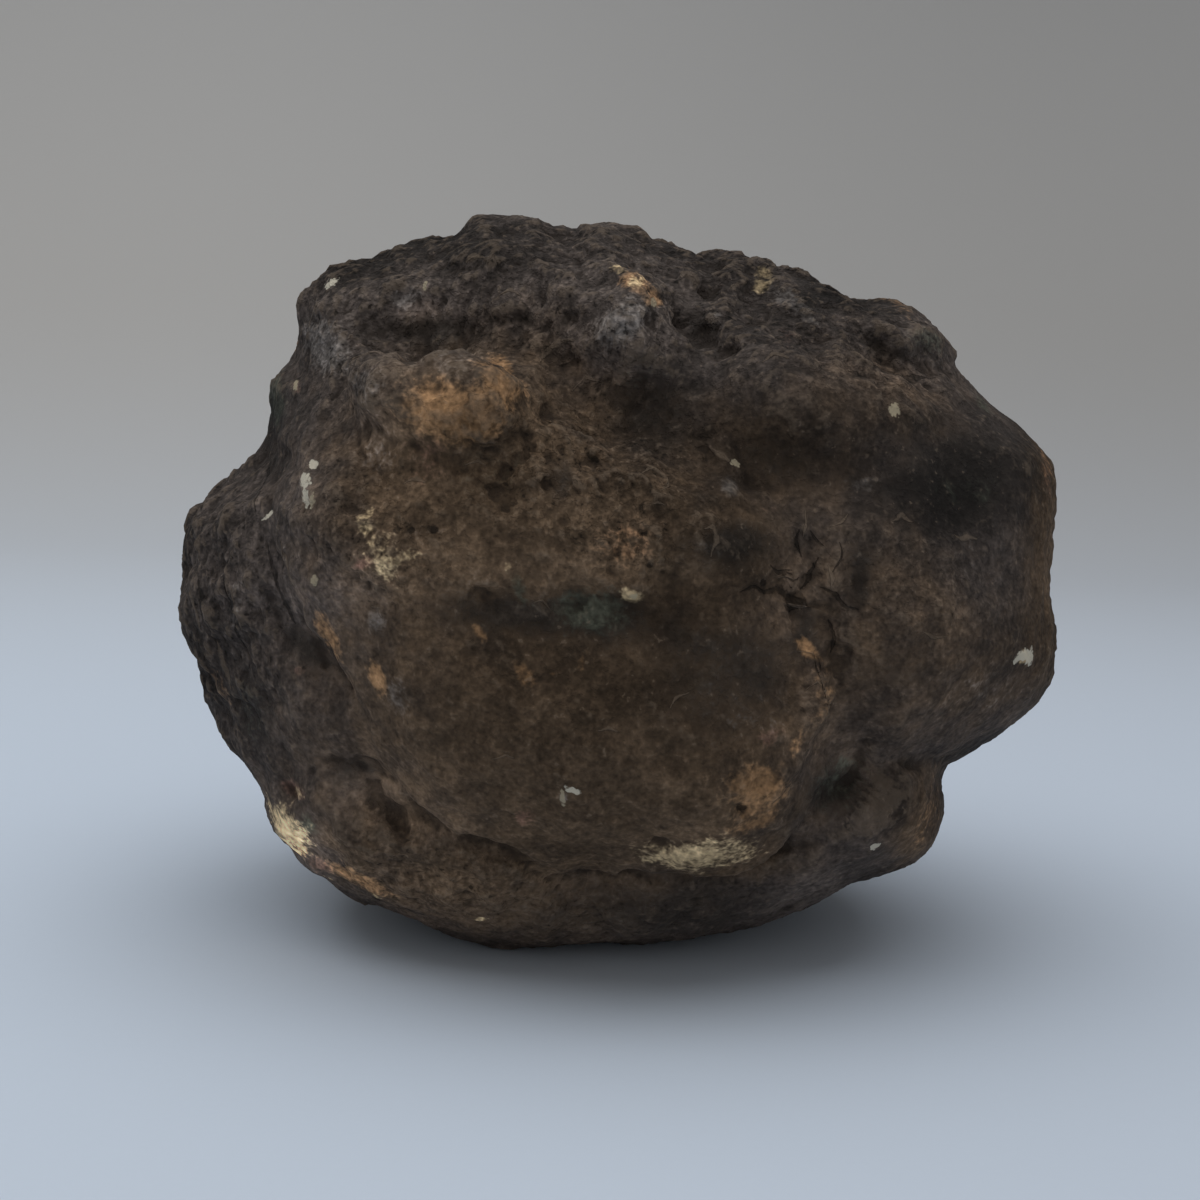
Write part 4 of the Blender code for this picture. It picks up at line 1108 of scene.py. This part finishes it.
PIT_SHADE_SPECKS = (
    (-38, 85, 0.7, 0.6, 0), (-35.5, 85, 0.7, 0.5, 0), (-32, 85.3, 1.1, 0.7, 0), (-5.6, 97.6, 1.4, 0.5, -28),
    (4.2, 121.4, 0.6, 0.9, 0), (24.1, 77.6, 0.6, 0.8, 30), (22, 39.4, 1.1, 0.5, 5),
)
SPECK_DEPTH = 5.0
WHITE = (0.62, 0.57, 0.46, 1.0)
CREAM_WHITE = (0.42, 0.36, 0.25, 1.0)
SPECK_EDGE = (1.15, 0.75)
NEARER_FIRST = 0.05


def front_of(across, height):
    """How far forward the stone's face stands at a place on the front elevation."""
    farness = np.hypot(skin[:, 0] - across, skin[:, 2] - height) + NEARER_FIRST * skin[:, 1]
    return float(skin[np.argmin(farness), 1])


def speckled(specks, ragged):
    """Where these specks are: 1 inside them, with a ragged edge."""
    gap = None
    for across, height, half_width, half_height, turn in specks:
        centre = (across * MM, front_of(across, height) * MM, height * MM)
        sizes = (half_width * MM, SPECK_DEPTH * MM, half_height * MM)
        inputs = {"Vector": PLACE, "Location": centre, "Scale": sizes}
        inputs["Rotation"] = (0.0, -math.radians(turn), 0.0)
        inside = crust.node("ShaderNodeMapping", {"vector_type": "TEXTURE"}, inputs)
        one_gap = crust.node("ShaderNodeVectorMath", {"operation": "LENGTH"}, {0: inside}, "Value")
        gap = one_gap if gap is None else gap.least(one_gap)
    return crust.climb(gap + ragged * (grain - 0.5 + 0.6 * (chips - 0.5)), *SPECK_EDGE)


# Painted shade in the mouths of pits
stone_colour = crust.mix(0.60 * speckled(PIT_SHADE_SPECKS, 1.0), stone_colour, PAINTED_SHADE_BLACK)
stone_colour = crust.mix(0.70 * speckled(CREAM_SPECKS, 1.8), stone_colour, CREAM_WHITE)
stone_colour = crust.mix(0.80 * speckled(WHITE_SPECKS, 1.8), stone_colour, WHITE)
print(len(WHITE_SPECKS + CREAM_SPECKS + PIT_SHADE_SPECKS), "specks")

# %% [markdown]
# ### Gloss and the finest relief
#
# Dry crust has next to no gloss, and the slate places shine a little. Grains under half a millimetre
# are left to a Bump node. It only tilts the light, so nothing that shows on the outline is left to it.

# %% Gloss, fine relief, and laying the finish on
crust.feed(crust.shader.inputs["Base Color"], stone_colour)
crust.feed(crust.shader.inputs["Roughness"], 0.95 - 0.18 * crust.attribute("slate_and_shade") - 0.1 * grain)
crust.shader.inputs["Specular IOR Level"].default_value = 0.12

roughly = 0.45 + 1.0 * coarse
height = roughly * (0.60 * flecks + 0.25 * chips + 0.22 * grain)
height = height + roughly * (0.10 * plates + 0.06 * small_plates)
height = height + 0.4 * streaky * hatching - 0.35 * crack + 0.25 * rim
bump = crust.node("ShaderNodeBump", {}, {"Strength": 1.0, "Distance": MM, "Height": height})
crust.feed(crust.shader.inputs["Normal"], bump)
stone.data.materials.clear()
stone.data.materials.append(crust.material)
print("the finish has", len(crust.tree.nodes), "nodes")

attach(stone, "root")
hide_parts("geode")

# %% [markdown]
# ## The table
#
# The stone stands on a sheet of pale card that sweeps up behind it, so that there is no horizon. It
# is a plane whose back edge is pulled up, and the fold is bevelled into a round. Its colour holds
# painted light and shade: cool near the front, a duller grey on the way up, and a little darker on
# the right.

# %% Sweep a sheet of card
SHEET_WIDTH = 6.0
SHEET_FRONT = -3.2
SHEET_BACK = 0.80
SHEET_HEIGHT = 2.2
SWEEP = 0.34
SWEEP_STEPS = 24
SHEET_LEVEL = -0.0003
NEARLY = 0.01

deselect_all()
bpy.ops.mesh.primitive_plane_add(size=1.0, location=(0.0, (SHEET_FRONT + SHEET_BACK) / 2, SHEET_LEVEL))
sheet = bpy.context.object
sheet.name = "card_sweep"
sheet.scale = (SHEET_WIDTH, SHEET_BACK - SHEET_FRONT, 1.0)
bpy.ops.object.transform_apply(location=True, rotation=True, scale=True)


def select_edges(piece, wanted):
    """Selects the edges whose two ends are both wanted, and nothing else."""
    for face in piece.data.polygons:
        face.select = False
    for vertex in piece.data.vertices:
        vertex.select = wanted(vertex.co)
    for edge in piece.data.edges:
        edge.select = all(piece.data.vertices[end].select for end in edge.vertices)


bpy.context.tool_settings.mesh_select_mode = (False, True, False)
select_edges(sheet, lambda place: place.y > SHEET_BACK - NEARLY)
bpy.ops.object.mode_set(mode="EDIT")
bpy.ops.mesh.extrude_region_move(TRANSFORM_OT_translate={"value": (0.0, 0.0, SHEET_HEIGHT)})
bpy.ops.object.mode_set(mode="OBJECT")
select_edges(sheet, lambda place: place.y > SHEET_BACK - NEARLY and place.z < NEARLY)
bpy.ops.object.mode_set(mode="EDIT")
bpy.ops.mesh.bevel(offset=SWEEP, segments=SWEEP_STEPS, affect="EDGES")
bpy.ops.object.mode_set(mode="OBJECT")
bpy.ops.object.shade_smooth()
print("the sheet has", len(sheet.data.polygons), "faces")

# %% Colour the card
NEAR_LEFT = (0.612, 0.687, 0.790, 1.0)
NEAR_RIGHT = (0.570, 0.635, 0.730, 1.0)
FAR_LEFT = (0.430, 0.420, 0.408, 1.0)
FAR_RIGHT = (0.350, 0.342, 0.334, 1.0)
FIBRE_GREY = (0.3, 0.3, 0.3, 1.0)

card = Finish("pale_card")
card_place = card.node("ShaderNodeTexCoord", output="Object")
card_across, card_back, card_height = (
    card.node("ShaderNodeSeparateXYZ", {}, {0: card_place}, axis) for axis in "XYZ"
)
# Painted shade: darker on the right, and a duller grey on the way up
card_side = card.climb(card_across, -0.25, 0.25)
near_tone = card.mix(card_side, NEAR_LEFT, NEAR_RIGHT)
far_tone = card.mix(card_side, FAR_LEFT, FAR_RIGHT)
card_tone = card.mix(card.climb(card_back + 1.3 * card_height, 0.05, 0.84), near_tone, far_tone)
fibre = card.node("ShaderNodeTexNoise", {}, {"Vector": card_place, "Scale": 700.0, "Detail": 2.0})
card.feed(card.shader.inputs["Base Color"], card.mix(0.03 * fibre, card_tone, FIBRE_GREY))
card.shader.inputs["Roughness"].default_value = 0.95
card.shader.inputs["Specular IOR Level"].default_value = 0.1
sheet.data.materials.append(card.material)
sheet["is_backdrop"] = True

# %% [markdown]
# ## The light
#
# One wide soft lamp hangs over the stone, a little to the left and behind it, so the shadow is soft
# and falls forwards. The sky fills the rest from all sides.

# %% Hang the lights
LIGHT_COLOUR = (0.94, 0.97, 1.0)
LIGHT_AIM = Vector((0.0, 0.0, 0.06))
LIGHT_PLACE = Vector((-0.10, 0.08, 1.25))
LIGHT_SIZE = 2.2
LIGHT_POWER = 15.2
SKY_COLOUR = (1.0, 0.98, 0.95, 1.0)
SKY_STRENGTH = 0.385

bpy.ops.object.light_add(type="AREA", location=LIGHT_PLACE)
lamp = bpy.context.object
lamp.name = "soft_light"
lamp.data.shape = "DISK"
lamp.data.size = LIGHT_SIZE
lamp.data.energy = LIGHT_POWER
lamp.data.color = LIGHT_COLOUR
lamp.rotation_euler = (LIGHT_AIM - LIGHT_PLACE).to_track_quat("-Z", "Y").to_euler()

world = bpy.data.worlds.new("sky")
world.use_nodes = True
world.node_tree.nodes["Background"].inputs["Color"].default_value = SKY_COLOUR
world.node_tree.nodes["Background"].inputs["Strength"].default_value = SKY_STRENGTH
bpy.context.scene.world = world
print("a lamp of", LIGHT_POWER, "W under a sky of strength", SKY_STRENGTH)

# %% [markdown]
# ## Last measures
#
# The skin should stand only a little proud of the solid stone, so the growth of its box over the solid's box
# is printed.

# %% Compare the sizes and finish
stone_low, stone_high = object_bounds()
growth = (stone_high - stone_low) - (solid_high - solid_low)
print("sides grew by, in mm:", [round(side / MM, 2) for side in growth])
